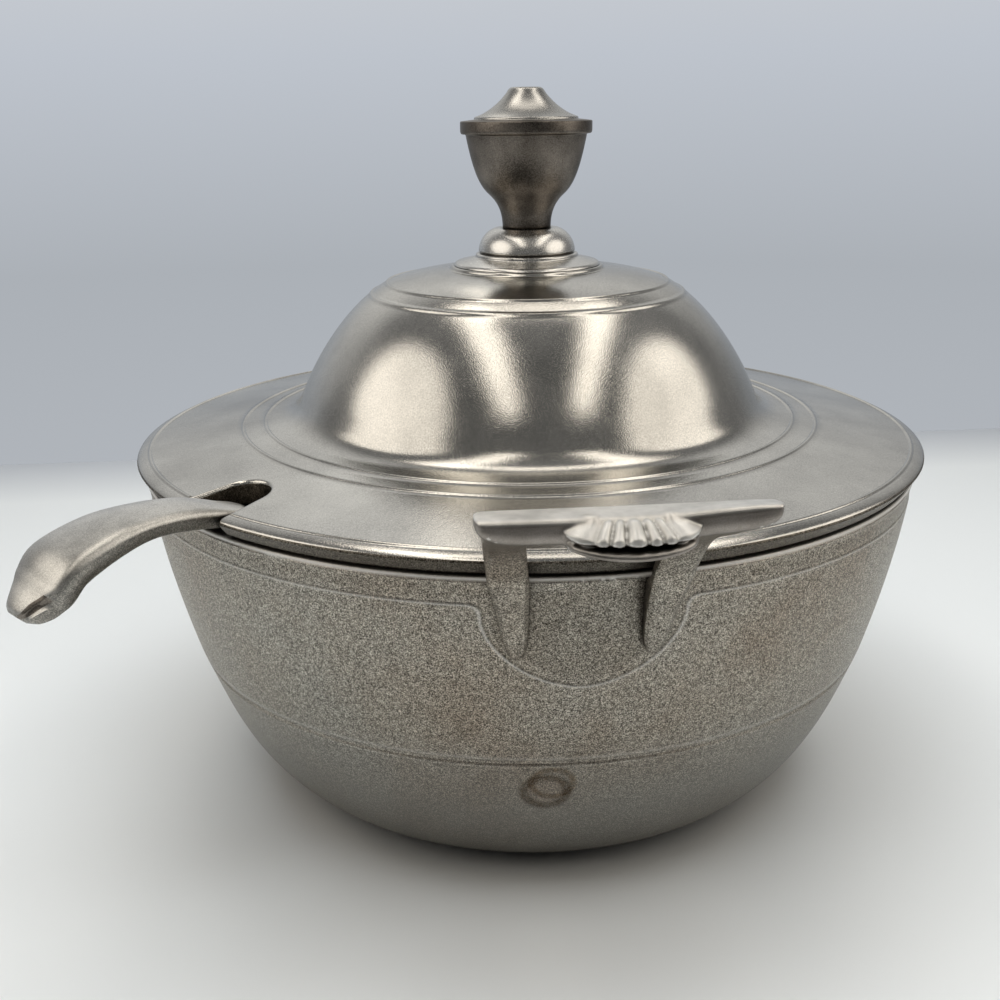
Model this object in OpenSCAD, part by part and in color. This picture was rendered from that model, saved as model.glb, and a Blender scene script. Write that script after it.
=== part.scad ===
// Covered soup tureen in cast grey metal, with two shell handles and a ladle.
// Origin at the centre of the flat base, Z up, front handle towards -Y.

/* [Bowl] */
// Height of the rim above the table
bowl_height = 108.5; // [96:0.5:122]
// Outer radius of the wall just under the rim
rim_radius = 124.6; // [118:0.2:134]
// Outer radius of the wall at the ledge line
ledge_radius = 113.4; // [108:0.2:116]
// Height of the ledge line above the table
ledge_height = 52; // [42:0.5:58]
// How far the lower wall is set in under the ledge
ledge_step = 0.7; // [0.3:0.1:1.5]
// Radius of the flat base
base_radius = 77.4; // [66:0.2:84]
// Thickness of the wall
bowl_wall = 5; // [3.5:0.1:6.5]
// Thickness of the floor
floor_thickness = 6; // [4:0.1:9]
// Height of the raised band under the rim
band_height = 7.3; // [5:0.1:10]
// How far the band stands proud of the wall
band_step = 0.5; // [0.3:0.1:1]
// Radius of the rounding on the rim
rim_round = 1.6; // [0.8:0.1:2]

/* [Handles] */
// Half length of the grip bar
bar_half_length = 30.6; // [29:0.2:38]
// How far the front of the bar stands out from the rim
bar_reach = 52; // [46:0.5:58]
// Height of the top of the bar above the rim
bar_rise = 32.6; // [28:0.2:38]
// Depth of the bar from back to front
bar_depth = 9; // [8:0.1:11]
// Thickness of the bar from top to bottom
bar_thickness = 6; // [5:0.1:8]
// Half width between the legs where they meet the wall
leg_inner = 14.4; // [13:0.1:15]
// Width of a leg at the height of the rim
leg_width = 10; // [8:0.1:12]
// Depth of a leg from back to front at the height of the rim
leg_depth = 5.6; // [5:0.1:8]
// How far the legs run down the wall below the rim
leg_drop = 22.5; // [18:0.5:27]
// Half width of the rounded pad behind the legs
pad_half_width = 25.8; // [24:0.1:30]
// How far the pad reaches down below the rim
pad_drop = 31.9; // [29:0.1:38]
// Half width of the shell in the middle of the bar
shell_half_width = 14.5; // [12:0.1:16]
// How far the shell stands out in front of the bar
shell_reach = 6.5; // [5:0.1:8]
// Number of flutes on the shell
shell_flutes = 7; // [5:2:9]

/* [Lid] */
// How far the lid stands out past the rim
lid_overhang = 2.4; // [1.5:0.1:4]
// Thickness of the lid at its outer edge
brim_thickness = 5; // [4:0.1:6.5]
// Thickness of the lid's wall
lid_wall = 4.5; // [3.5:0.1:5.5]
// Height of the slit between the lid's edge and the rim
lid_slit = 1; // [0.5:0.1:1.5]
// Rise of the brim from its edge to the foot of the dome
brim_rise = 7.2; // [5:0.1:9]
// Radius of the dome above its flared foot
dome_radius = 73.5; // [68:0.1:78]
// Height of the dome above the foot of its flare
dome_height = 41; // [36:0.5:48]
// Radius of the crease below the crown of the dome
crown_radius = 45.5; // [42:0.1:49]
// Radius of the flat step that carries the knob
step_radius = 25; // [23:0.1:28]
// Radius of the fine raised rings
ring_radius = 0.6; // [0.4:0.05:0.8]
// Depth of the collar that drops inside the rim
spigot_depth = 6; // [4:0.1:8]
// Thickness of the collar that drops inside the rim
spigot_wall = 3; // [2.5:0.1:4]
// Room between the collar and the inside of the rim
spigot_clearance = 0.6; // [0.4:0.1:1]
// Width of the ladle slot at the lid's edge
slot_width = 19.6; // [18:0.1:22]
// Length of the ladle slot from the lid's edge inwards
slot_length = 22.3; // [20:0.1:23]
// Direction of the ladle slot, from the front handle
slot_azimuth = -51; // [-70:1:-45]

/* [Knob] */
// Height of the collar under the knob
collar_height = 11.6; // [10:0.1:13]
// Radius of the bead on the collar
bead_radius = 15.5; // [14:0.1:17]
// Radius of the knob's stem
stem_radius = 7.7; // [7:0.1:8.5]
// Radius of the knob's flange
knob_radius = 20.7; // [19:0.1:23]
// Height of the knob above its collar
knob_height = 42.6; // [38:0.1:48]
// Radius of the screw that holds the knob
screw_radius = 3; // [2.5:0.1:3.5]
// Length of the screw inside the knob
screw_grip = 18; // [12:0.5:20]
// Radius of the screw's head
screw_head_radius = 5.5; // [5:0.1:6.5]
// Height of the screw's head
screw_head_height = 3.6; // [3:0.1:4.5]
// Radius of the washer under the screw's head
washer_radius = 8; // [7.2:0.1:10]
// Thickness of the washer
washer_thickness = 1.4; // [1:0.1:2]

/* [Ladle] */
// Outer radius of the ladle's cup
cup_radius = 38; // [32:0.5:42]
// Height of the ladle's cup
cup_height = 35; // [30:0.5:40]
// Thickness of the cup's wall
cup_wall = 2.4; // [2:0.1:3.5]
// Distance of the cup's centre from the middle of the bowl
cup_offset = 40; // [34:0.5:44]
// Half width of the ladle's neck in the slot
neck_half_width = 6; // [5:0.1:6.8]
// Half width of the ladle's grip at its widest
grip_half_width = 12.3; // [10:0.1:14]
// Thickness of the ladle's edge
ladle_edge = 3.7; // [3:0.1:4.5]
// Height of the crown on top of the grip
ladle_crown = 3; // [2:0.1:4]
// Length of the grip outside the rim
grip_length = 55; // [48:0.5:64]

/* [Hidden] */

$fn = 96;
curve_steps = 12;
// Space between pieces that are joined face to face on a curve
seat_gap = 0.06;
// Radial space of the screw in its holes
screw_clearance = 0.08;
// Space between the ladle and what it rests on
rest_gap = 0.35;
// Room between the lid's edge and the handles' legs
leg_clearance = 1;

rim_inner = rim_radius - bowl_wall - 1;
lid_plane = bowl_height + lid_slit;
lid_radius = rim_radius + lid_overhang;
band_edge = bowl_height - band_height;
// Swell of the upper wall, and the shoulder and foot of the lower wall
wall_bulge = 2.6;
shoulder_inset = 6.4;
shoulder_level = ledge_height * 0.68;
foot_flare = 23.1;
// Rounding of the corners where the pad runs into the band
pad_corner = 3;
// Steps between the lid's levels
flare_height = 8;
crown_drop = 7.5;
step_drop = 2.5;
// Swell of the dome's flared foot, lean of the dome's wall, and how far the foot goes on with that lean
flare_low = 4;
dome_lean = 4.5;
flare_share = 0.35;
cast_grey = [0.52, 0.51, 0.49];
satin_grey = [0.62, 0.62, 0.61];
polished_grey = [0.45, 0.44, 0.42];
bright_grey = [0.7, 0.7, 0.69];

// Point at share t along the curve of the control points p
function bezier_point(p, t) =
    len(p) == 1 ? p[0] :
    bezier_point([for (i = [0:len(p) - 2]) p[i] + (p[i + 1] - p[i]) * t], t);
function bezier(p, steps = curve_steps) = [for (i = [0:steps]) bezier_point(p, i / steps)];

// Smooth curve through the points p, with the same number of steps in each stretch
function through(p, steps) = [
    for (i = [0:len(p) - 2])
        let (
            before = p[max(i - 1, 0)],
            start = p[i],
            end = p[i + 1],
            after = p[min(i + 2, len(p) - 1)]
        )
            for (k = [0:steps - (i == len(p) - 2 ? 0 : 1)])
                bezier_point([start, start + (end - before) / 6, end - (after - start) / 6, end], k / steps)
];

// Closed oval with flattened sides, n points, in half sizes a and b
function oval(a, b, n = 16, squareness = 2.8) = [
    for (i = [0:n - 1])
        let (c = cos(i * 360 / n), s = sin(i * 360 / n))
            [a * sign(c) * pow(abs(c), 2 / squareness), b * sign(s) * pow(abs(s), 2 / squareness)]
];

// Solid skin over a row of closed rings that have the same number of points
module loft(rings) {
    m = len(rings[0]);
    n = len(rings);
    sides = [
        for (i = [0:n - 2])
            for (j = [0:m - 1])
                for (half = [0, 1])
                    half == 0
                        ? [i * m + j, (i + 1) * m + (j + 1) % m, i * m + (j + 1) % m]
                        : [i * m + j, (i + 1) * m + j, (i + 1) * m + (j + 1) % m]
    ];
    first = [for (j = [0:m - 1]) j];
    last = [for (j = [0:m - 1]) n * m - 1 - j];
    polyhedron(points = [for (ring = rings) each ring], faces = concat([first], sides, [last]));
}

// Wall curves, each a list of [radius, height] from the top down
upper_wall = bezier([
    [rim_radius, bowl_height - rim_round],
    [(rim_radius + ledge_radius) / 2 + wall_bulge, (bowl_height + ledge_height) / 2],
    [ledge_radius, ledge_height]
]);
lower_wall = bezier([
    [ledge_radius - ledge_step, ledge_height],
    [ledge_radius - shoulder_inset, shoulder_level],
    [base_radius + foot_flare, ledge_height * 0.21],
    [base_radius, 0]
]);
wall_below_band = [for (p = upper_wall) if (p.y < band_edge - 1) p];
// Radius of the upper wall at a height
function wall_radius(z) = lookup(z, [for (p = upper_wall) [p.y, p.x]]);

// Outside of the bowl as a solid of revolution, grown by some clearance
module bowl_outside(clearance = 0) {
    rotate_extrude()
        polygon(concat(
            [[0, bowl_height]],
            [for (a = [90:-30:0])
                [rim_radius - rim_round + clearance + rim_round * cos(a),
                    bowl_height - rim_round + rim_round * sin(a)]],
            [[wall_radius(band_edge) + clearance, band_edge]],
            [[wall_radius(band_edge) - band_step + clearance, band_edge - band_step]],
            [for (p = wall_below_band) [p.x - band_step + clearance, p.y]],
            [for (p = lower_wall) [p.x - band_step + clearance, p.y]],
            [[0, 0]]
        ));
}

module tureen_bowl() {
    inner_upper = [for (p = wall_below_band) [p.x - band_step - bowl_wall, p.y]];
    inner_lower = bezier([
        [ledge_radius - ledge_step - bowl_wall, ledge_height],
        [ledge_radius - shoulder_inset - bowl_wall, shoulder_level],
        [base_radius + foot_flare - bowl_wall * 1.5, floor_thickness + ledge_height * 0.12],
        [base_radius - bowl_wall, floor_thickness]
    ]);
    color(cast_grey)
        difference() {
            bowl_outside();
            rotate_extrude()
                polygon(concat(
                    [[0, bowl_height + 1]],
                    [[rim_inner, bowl_height + 1]],
                    [[rim_inner, band_edge]],
                    inner_upper,
                    inner_lower,
                    [[0, floor_thickness]]
                ));
        }
}

// Outline of the pad below the rim: it flares into the band and ends in a half oval
module pad_outline() {
    top = -band_height - band_step;
    side_end = -pad_drop * 0.36;
    corner = [for (a = [20:14:90])
        [pad_half_width + pad_corner * (1 - sin(a)), top - pad_corner * (1 - cos(a))]];
    polygon(concat(
        [[corner[0].x, top]],
        corner,
        [for (a = [0:-12:-180])
            [pad_half_width * sign(cos(a)) * pow(abs(cos(a)), 1.15),
                side_end - (pad_drop + side_end) * pow(abs(sin(a)), 1.15)]],
        [for (i = [len(corner) - 1:-1:0]) [-corner[i].x, corner[i].y]],
        [[-corner[0].x, top]]
    ));
}

// Stations of a leg, each [height from rim, back, front, inner side, outer side]
leg_stations = [
    [-leg_drop, -9, -3, leg_inner + 1.9, leg_inner + 3.6],
    [-leg_drop + 1.4, -9, -2.2, leg_inner + 0.8, leg_inner + 4.6],
    [-leg_drop * 0.78, -9, -0.5, leg_inner + 0.1, leg_inner + 6],
    [-leg_drop * 0.4, -8, 2.6, leg_inner, leg_inner + leg_width * 0.8],
    [-2.5, -3, leg_depth + 0.2, leg_inner + 0.2, leg_inner + leg_width * 0.95],
    [lid_slit, lid_overhang - 0.2, lid_overhang + leg_depth - 1,
        leg_inner + 0.4, leg_inner + 0.4 + leg_width],
    [lid_slit + brim_thickness * 0.7, lid_overhang + leg_clearance, lid_overhang + leg_clearance + leg_depth,
        leg_inner + 0.8, leg_inner + 0.8 + leg_width],
    [bar_rise * 0.43, bar_reach * 0.205, bar_reach * 0.205 + leg_depth * 1.2,
        leg_inner + 2.2, leg_inner + 2.1 + leg_width],
    [bar_rise * 0.66, bar_reach * 0.46, bar_reach * 0.46 + leg_depth * 1.7,
        leg_inner + 3.4, leg_inner + 3.2 + leg_width],
    [bar_rise - bar_thickness * 0.6, bar_reach - bar_depth + 0.4, bar_reach - 1.2,
        leg_inner + 4.6, leg_inner + 4.4 + leg_width]
];

// One leg, on the side given as 1 or -1, by level rings
module leg(side) {
    mirror([side < 0 ? 1 : 0, 0, 0])
        loft([
            for (s = leg_stations)
                [for (p = oval((s[4] - s[3]) / 2, (s[2] - s[1]) / 2))
                    [(s[3] + s[4]) / 2 + p.x, -rim_radius - (s[1] + s[2]) / 2 + p.y, bowl_height + s[0]]]
        ]);
}

// Stations of the bar, each [share of the half length, share of the section, lift]
bar_stations = [
    [-1, 0.35, 0.9], [-0.985, 0.6, 0.8], [-0.95, 0.84, 0.7], [-0.88, 0.97, 0.5], [-0.6, 1, 0],
    [0, 1.04, -0.2],
    [0.6, 1, 0], [0.88, 0.97, 0.5], [0.95, 0.84, 0.7], [0.985, 0.6, 0.8], [1, 0.35, 0.9]
];

module bar() {
    loft([
        for (s = bar_stations)
            [for (p = oval(bar_depth / 2 * s[1], bar_thickness / 2 * s[1], squareness = 4))
                [bar_half_length * s[0], -rim_radius - bar_reach + bar_depth / 2 + p.x,
                    bowl_height + bar_rise - bar_thickness / 2 + p.y + s[2]]]
    ]);
}

// Side view of a flute, each point [share of the reach, height from the hinge, share of the groove]
flute_profile = [
    [0.8, -5, 0], [0, -5, 0], [0, -0.2, 0], [0.3, 0.75, 0.4], [0.55, 0.1, 0.8],
    [0.78, -1, 1], [0.93, -2.3, 1], [1, -3.6, 0.5], [0.95, -4.6, 0]
];

// Fan of flutes over a rounded lip
module shell() {
    root_depth = bar_depth / 3;
    hinge = [0, -rim_radius - bar_reach + root_depth, bowl_height + bar_rise - 0.9];
    front = -rim_radius - bar_reach - shell_reach;
    lip_radius = (pow(shell_half_width + 2, 2) + pow(shell_reach + 3, 2)) / (2 * (shell_reach + 3));
    root_half_width = shell_half_width * 0.45;
    groove = shell_half_width * 0.09;
    across = [-1, -0.8, -0.4, 0, 0.4, 0.8];
    steps = [for (i = [0:shell_flutes - 1]) for (u = across) [i, u]];
    loft([
        for (step = concat(steps, [[shell_flutes - 1, 1]]))
            let (
                share = (2 * step.x + 1 + step.y) / shell_flutes - 1,
                crest = sqrt(1 - step.y * step.y),
                reach = (root_depth + shell_reach * (1 - 0.6 * share * share)) * (0.88 + 0.12 * crest)
            )
                [for (p = flute_profile)
                    [share * (root_half_width + (shell_half_width - root_half_width) * p.x),
                        hinge.y - reach * p.x,
                        hinge.z + p.y + 1.4 * share * share * p.x - groove * (1 - crest) * p.z]]
    ]);
    translate([0, front + lip_radius, bowl_height + bar_rise - bar_thickness - 0.8])
        linear_extrude(2.4)
            intersection() {
                circle(r = lip_radius);
                translate([-shell_half_width - 2, -lip_radius])
                    square([2 * shell_half_width + 4, shell_reach + 5]);
            }
}

// Whole handle towards -Y, set on the outside of the bowl
module handle() {
    difference() {
        union() {
            intersection() {
                bowl_outside(band_step + seat_gap);
                translate([0, 0, bowl_height])
                    rotate([90, 0, 0])
                        linear_extrude(rim_radius + 5)
                            pad_outline();
            }
            leg(1);
            leg(-1);
            bar();
            shell();
        }
        bowl_outside(seat_gap);
    }
}

module front_handle() {
    color(satin_grey) handle();
}

module rear_handle() {
    color(satin_grey) rotate([0, 0, 180]) handle();
}

// Fine raised ring on the lid
module ring(radius, height) {
    rotate_extrude() translate([radius, height]) circle(r = ring_radius, $fn = 24);
}

// Levels of the lid, measured from the table
brim_top = lid_plane + brim_thickness;
flare_foot = brim_top + brim_rise;
dome_base = flare_foot + flare_height;
crown_edge = dome_base + dome_height - crown_drop;
step_top = dome_base + dome_height - step_drop;
step_under = step_top - 1 - lid_wall;
flare_radius = dome_radius + 9;

// Upper line of the lid, [radius, height] from the edge inwards
lid_line = concat(
    [[rim_radius - 0.3, lid_plane]],
    [[lid_radius, lid_plane + brim_thickness * 0.75]],
    [[lid_radius - 0.4, brim_top]],
    [[lid_radius - 2.8, brim_top + 0.4]],
    bezier([
        [flare_radius, flare_foot - 0.7],
        [dome_radius + flare_low, flare_foot + 0.6],
        [dome_radius + dome_lean * flare_share, dome_base - dome_height * 0.25 * flare_share],
        [dome_radius, dome_base]
    ]),
    bezier([
        [dome_radius, dome_base],
        [dome_radius - dome_lean, dome_base + dome_height * 0.25],
        [crown_radius + 13, crown_edge - 6.8],
        [crown_radius, crown_edge]
    ]),
    [[step_radius + 4, step_top - 1.4]],
    [[step_radius, step_top - 1]],
    [[step_radius - 0.6, step_top]],
    [[0, step_top]]
);

// Height of the lid's upper line at a radius between the brim's edge and the crown
function lid_top(radius) = lookup(radius, [for (p = lid_line) if (p.y > lid_plane + 1) [p.x, p.y]]);

// Shape of the slot seen from above, open at the lid's edge
module slot_outline() {
    end_radius = slot_width * 0.41;
    end_centre = lid_radius - slot_length + end_radius;
    translate([0, -end_centre]) circle(r = end_radius);
    polygon([
        [-end_radius, -end_centre],
        [-slot_width / 2, -lid_radius - 4],
        [slot_width / 2, -lid_radius - 4],
        [end_radius, -end_centre]
    ]);
}

module lid() {
    spigot_outer = rim_inner - spigot_clearance;
    spigot_inner = spigot_outer - spigot_wall;
    seat_edge = rim_radius - rim_round;
    under_line = concat(
        [[seat_edge, lid_plane]],
        [[seat_edge, bowl_height]],
        [[spigot_outer, bowl_height]],
        [[spigot_outer - 0.5, bowl_height - spigot_depth]],
        [[spigot_inner, bowl_height - spigot_depth]],
        [[spigot_inner - 1, lid_plane]],
        bezier([
            [flare_radius - lid_wall, flare_foot - brim_thickness - 0.7],
            [dome_radius + flare_low - lid_wall, flare_foot - brim_thickness + 0.6],
            [dome_radius + dome_lean * flare_share - lid_wall,
                dome_base - 1 - dome_height * 0.25 * flare_share],
            [dome_radius - lid_wall, dome_base - 1]
        ]),
        bezier([
            [dome_radius - lid_wall, dome_base - 1],
            [dome_radius - dome_lean - lid_wall, dome_base + dome_height * 0.25 - 1],
            [crown_radius + 12 - lid_wall, crown_edge - 7.8],
            [crown_radius - lid_wall * 0.6, crown_edge - lid_wall * 0.9]
        ]),
        [[step_radius, step_under]],
        [[0, step_under]]
    );
    rings = [dome_radius + 20.3, dome_radius + 13.1, crown_radius + 5.3, crown_radius];
    color(satin_grey)
        difference() {
            union() {
                rotate_extrude()
                    polygon(concat(lid_line, [for (i = [len(under_line) - 1:-1:0]) under_line[i]]));
                for (r = rings)
                    ring(r, lid_top(r) - ring_radius * 0.4);
            }
            rotate([0, 0, slot_azimuth])
                translate([0, 0, bowl_height - spigot_depth - 1])
                    linear_extrude(spigot_depth + brim_thickness + brim_rise)
                        slot_outline();
            translate([0, 0, step_top - lid_wall - 2])
                cylinder(h = lid_wall + 4, r = screw_radius + screw_clearance);
        }
}

collar_top = step_top + collar_height;

module knob_collar() {
    bead_base = step_top + collar_height * 0.36;
    color(bright_grey)
        difference() {
            rotate_extrude()
                polygon(concat(
                    [[0, step_top]],
                    [[step_radius - 1.4, step_top]],
                    [[step_radius - 2, step_top + 0.9]],
                    [[bead_radius + 0.9, bead_base - 1.6]],
                    [[bead_radius + 1, bead_base - 0.7]],
                    [[bead_radius - 0.6, bead_base - 0.2]],
                    bezier([
                        [bead_radius, bead_base + 0.3],
                        [bead_radius - 0.2, bead_base + collar_height * 0.28],
                        [bead_radius - 2, collar_top - 1.2],
                        [stem_radius + 2.6, collar_top - 0.1]
                    ]),
                    [[0, collar_top]]
                ));
            translate([0, 0, step_top - 1])
                cylinder(h = collar_height + 2, r = screw_radius + screw_clearance);
        }
}

module knob() {
    waist = collar_top + knob_height * 0.255;
    flange_base = collar_top + knob_height * 0.675;
    flange_top = collar_top + knob_height * 0.765;
    tip = collar_top + knob_height;
    color(polished_grey)
        difference() {
            rotate_extrude()
                polygon(concat(
                    [[0, collar_top]],
                    bezier([
                        [stem_radius, collar_top],
                        [stem_radius, collar_top + knob_height * 0.13],
                        [knob_radius * 0.46, waist - knob_height * 0.06],
                        [knob_radius * 0.6, waist]
                    ]),
                    bezier([
                        [knob_radius * 0.605, waist + 0.15],
                        [knob_radius * 0.76, waist + knob_height * 0.075],
                        [knob_radius * 0.84, flange_base - knob_height * 0.2],
                        [knob_radius * 0.915, flange_base - 0.6]
                    ]),
                    [[knob_radius * 0.985, flange_base]],
                    [[knob_radius, flange_base + 0.6]],
                    [[knob_radius, flange_top - 0.4]],
                    [[knob_radius - 0.5, flange_top]],
                    [[knob_radius * 0.8, flange_top + 0.5]],
                    bezier([
                        [knob_radius * 0.775, flange_top + 1.3],
                        [knob_radius * 0.57, flange_top + 2.7],
                        [knob_radius * 0.41, tip - 4.6],
                        [knob_radius * 0.3, tip - 1.8]
                    ]),
                    [[knob_radius * 0.25, tip - 0.5]],
                    [[knob_radius * 0.19, tip]],
                    [[0, tip]]
                ));
            translate([0, 0, collar_top - 1])
                cylinder(h = screw_grip + 2.5, r = screw_radius + screw_clearance);
        }
}

module screw_washer() {
    color("silver")
        translate([0, 0, step_under - washer_thickness])
            difference() {
                cylinder(h = washer_thickness, r = washer_radius);
                translate([0, 0, -1])
                    cylinder(h = washer_thickness + 2, r = screw_radius + 2 * screw_clearance);
            }
}

module knob_screw() {
    head_top = step_under - washer_thickness;
    shank_top = collar_top + screw_grip;
    slot_depth = screw_head_height * 0.45;
    color("silver")
        difference() {
            union() {
                translate([0, 0, head_top - screw_head_height])
                    cylinder(h = screw_head_height, r1 = screw_head_radius * 0.8, r2 = screw_head_radius);
                translate([0, 0, head_top - 0.01])
                    cylinder(h = shank_top - head_top, r = screw_radius);
            }
            translate([-screw_head_radius - 1, -0.7, head_top - screw_head_height - 1])
                cube([2 * screw_head_radius + 2, 1.4, slot_depth + 1]);
        }
}

// Cup of the ladle, standing on the floor of the bowl
cup_base = floor_thickness + rest_gap;
cup_rim = cup_base + cup_height;
cup_foot = cup_radius * 0.4;

module cup() {
    outside = bezier([
        [cup_foot, cup_base],
        [cup_radius * 0.86, cup_base + cup_height * 0.04],
        [cup_radius - 0.5, cup_base + cup_height * 0.5],
        [cup_radius, cup_rim]
    ]);
    inside = bezier([
        [cup_radius - cup_wall, cup_rim],
        [cup_radius - 0.5 - cup_wall, cup_base + cup_height * 0.53],
        [cup_radius * 0.86 - cup_wall, cup_base + cup_wall + cup_height * 0.06],
        [cup_foot, cup_base + cup_wall]
    ]);
    translate([0, -cup_offset, 0])
        rotate_extrude()
            polygon(concat([[0, cup_base]], outside, inside, [[0, cup_base + cup_wall]]));
}

// Stations of the ladle's handle, in the plane of the slot, as
// [distance out, height, half width, edge thickness, crown], from the cup to the tip
cup_edge = cup_offset + cup_radius;
shaft_foot = [cup_edge - 1.9, cup_rim - 6];
slot_end = lid_radius - slot_length;
shaft_head = [slot_end + 2.3, lid_plane - 6.5];
function shaft_at(share) = shaft_foot + (shaft_head - shaft_foot) * share;
hook_height = bowl_height + rest_gap + ladle_edge;
tip_out = rim_inner + grip_length + 5.6;
ladle_stations = [
    [shaft_foot.x, shaft_foot.y, neck_half_width + 1, ladle_edge - 1.4, 0.4],
    [shaft_at(0.16).x + 1.2, shaft_at(0.16).y, neck_half_width + 1, ladle_edge - 0.4, 0.8],
    [shaft_at(0.5).x + 1.5, shaft_at(0.5).y, neck_half_width - 0.4, ladle_edge, 1],
    [shaft_head.x, shaft_head.y, neck_half_width - 0.6, ladle_edge, 1],
    [slot_end + 5.6, lid_plane - 0.8, neck_half_width - 0.4, ladle_edge, 1],
    [slot_end + 8.8, hook_height - 0.6, neck_half_width, ladle_edge, 1.2],
    [rim_inner, hook_height + 0.6, neck_half_width + 1.2, ladle_edge, 1.7],
    [rim_radius + 5.4, hook_height + 3, neck_half_width + 2.5, ladle_edge, ladle_crown],
    [rim_inner + grip_length * 0.44, hook_height + 4.1,
        grip_half_width - 2.6, ladle_edge + 0.6, ladle_crown],
    [rim_inner + grip_length * 0.65, hook_height + 3.2, grip_half_width - 1, ladle_edge + 2, ladle_crown],
    [rim_inner + grip_length * 0.87, hook_height - 0.6, grip_half_width, ladle_edge + 2.2, ladle_crown],
    [tip_out - 7.4, hook_height - 5.2, grip_half_width * 0.95, ladle_edge + 1.6, ladle_crown * 0.9],
    [tip_out - 5, hook_height - 7.4, grip_half_width * 0.8, ladle_edge + 1.1, ladle_crown * 0.7],
    [tip_out - 3, hook_height - 9.4, grip_half_width * 0.62, ladle_edge + 0.7, ladle_crown * 0.7],
    [tip_out - 0.8, hook_height - 11.4, grip_half_width * 0.4, ladle_edge - 0.4, ladle_crown * 0.5],
    [tip_out, hook_height - 12.2, grip_half_width * 0.16, ladle_edge - 1.4, ladle_crown * 0.2]
];

// Cross-section of the handle: crowned top, straight edges, flat underside
function ladle_section(half_width, edge, crown) = let (bevel = 0.3 * min(edge, half_width)) concat(
    [for (i = [0:8]) let (u = 1 - i / 4) [u * half_width, crown * (1 - u * u)]],
    [[-half_width, bevel - edge], [bevel - half_width, -edge]],
    [[half_width - bevel, -edge], [half_width, bevel - edge]]
);

module ladle_handle() {
    line = through(ladle_stations, 3);
    last = len(line) - 1;
    loft([
        for (i = [0:last])
            let (
                s = line[i],
                ahead = line[min(i + 1, last)],
                behind = line[max(i - 1, 0)],
                slope = atan2(ahead[1] - behind[1], ahead[0] - behind[0])
            )
                [for (p = ladle_section(s[2], s[3], s[4]))
                    [p.x, -s[0] + p.y * sin(slope), s[1] + p.y * cos(slope)]]
    ]);
}

module ladle() {
    color(satin_grey)
        rotate([0, 0, slot_azimuth])
            union() {
                cup();
                ladle_handle();
            }
}

tureen_bowl();
front_handle();
rear_handle();
lid();
knob_collar();
knob();
knob_screw();
screw_washer();
ladle();
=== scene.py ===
import math

import bmesh
import bpy
from mathutils import Matrix, Vector, noise


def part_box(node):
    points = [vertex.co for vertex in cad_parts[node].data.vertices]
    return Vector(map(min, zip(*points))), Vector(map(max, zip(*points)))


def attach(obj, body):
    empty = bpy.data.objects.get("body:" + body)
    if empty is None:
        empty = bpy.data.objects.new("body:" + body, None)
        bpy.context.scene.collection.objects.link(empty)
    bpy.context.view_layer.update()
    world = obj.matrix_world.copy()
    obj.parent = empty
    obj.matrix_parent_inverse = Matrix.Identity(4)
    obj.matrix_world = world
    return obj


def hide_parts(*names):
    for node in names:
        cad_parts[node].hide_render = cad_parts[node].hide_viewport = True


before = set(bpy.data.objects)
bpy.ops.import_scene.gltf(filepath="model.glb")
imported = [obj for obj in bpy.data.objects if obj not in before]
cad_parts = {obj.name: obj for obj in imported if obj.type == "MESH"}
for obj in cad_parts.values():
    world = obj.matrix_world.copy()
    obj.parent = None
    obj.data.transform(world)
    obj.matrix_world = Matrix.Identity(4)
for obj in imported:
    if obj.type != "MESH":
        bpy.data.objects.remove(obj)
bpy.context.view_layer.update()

# Sizes in millimetres, in the frame of the solids
MM = 0.001
BOWL_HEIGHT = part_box("tureen_bowl")[1].z / MM
RIM_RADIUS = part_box("tureen_bowl")[1].x / MM
LEDGE_RADIUS = 113.4
LEDGE_HEIGHT = 52
LEDGE_STEP = 0.28
BASE_RADIUS = 77.4
BOWL_WALL = 5
FLOOR = 6
WALL_BULGE = 2.6
BAND_HEIGHT = 7.6
BAND_RECESS = 0.3
RIM_INNER = RIM_RADIUS - BOWL_WALL - 1
PAD_HALF_WIDTH = 25.8
PAD_DROP = 31.9
PAD_CORNER = 3.5
PAD_POWER = 1.74

LID_PLANE = BOWL_HEIGHT + 1
LID_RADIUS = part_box("lid")[1].x / MM - 0.01
LID_WALL = 4.5
BRIM_TOP = LID_PLANE + 5
FLARE_FOOT = BRIM_TOP + 7.2
DOME_BASE = FLARE_FOOT + 8
DOME_RADIUS = 73.5
FLARE_RADIUS = DOME_RADIUS + 9
CROWN_RADIUS = 45.5
STEP_RADIUS = 25
STEP_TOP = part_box("lid")[1].z / MM
CROWN_EDGE = STEP_TOP - 5
STEP_UNDER = STEP_TOP - LID_WALL - 1
SPIGOT_DEPTH = 6
SLOT_WIDTH = 19.6
SLOT_LENGTH = 22.3
SLOT_AZIMUTH = math.radians(-51)
SLOT_ROUND = 0.9
SLOT_MOUTH_ROUND = 2.2

COLLAR_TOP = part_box("knob_collar")[1].z / MM
BEAD_RADIUS = 15.5
STEM_RADIUS = 7.7
KNOB_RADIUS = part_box("knob")[1].x / MM
KNOB_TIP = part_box("knob")[1].z / MM - 0.01
HOLE_RADIUS = 3.08
SCREW_RADIUS = 3
SCREW_GRIP = 18
WASHER_RADIUS = 8
WASHER_THICKNESS = 1.4
HEAD_RADIUS = 5.5
HEAD_HEIGHT = 3.6

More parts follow.
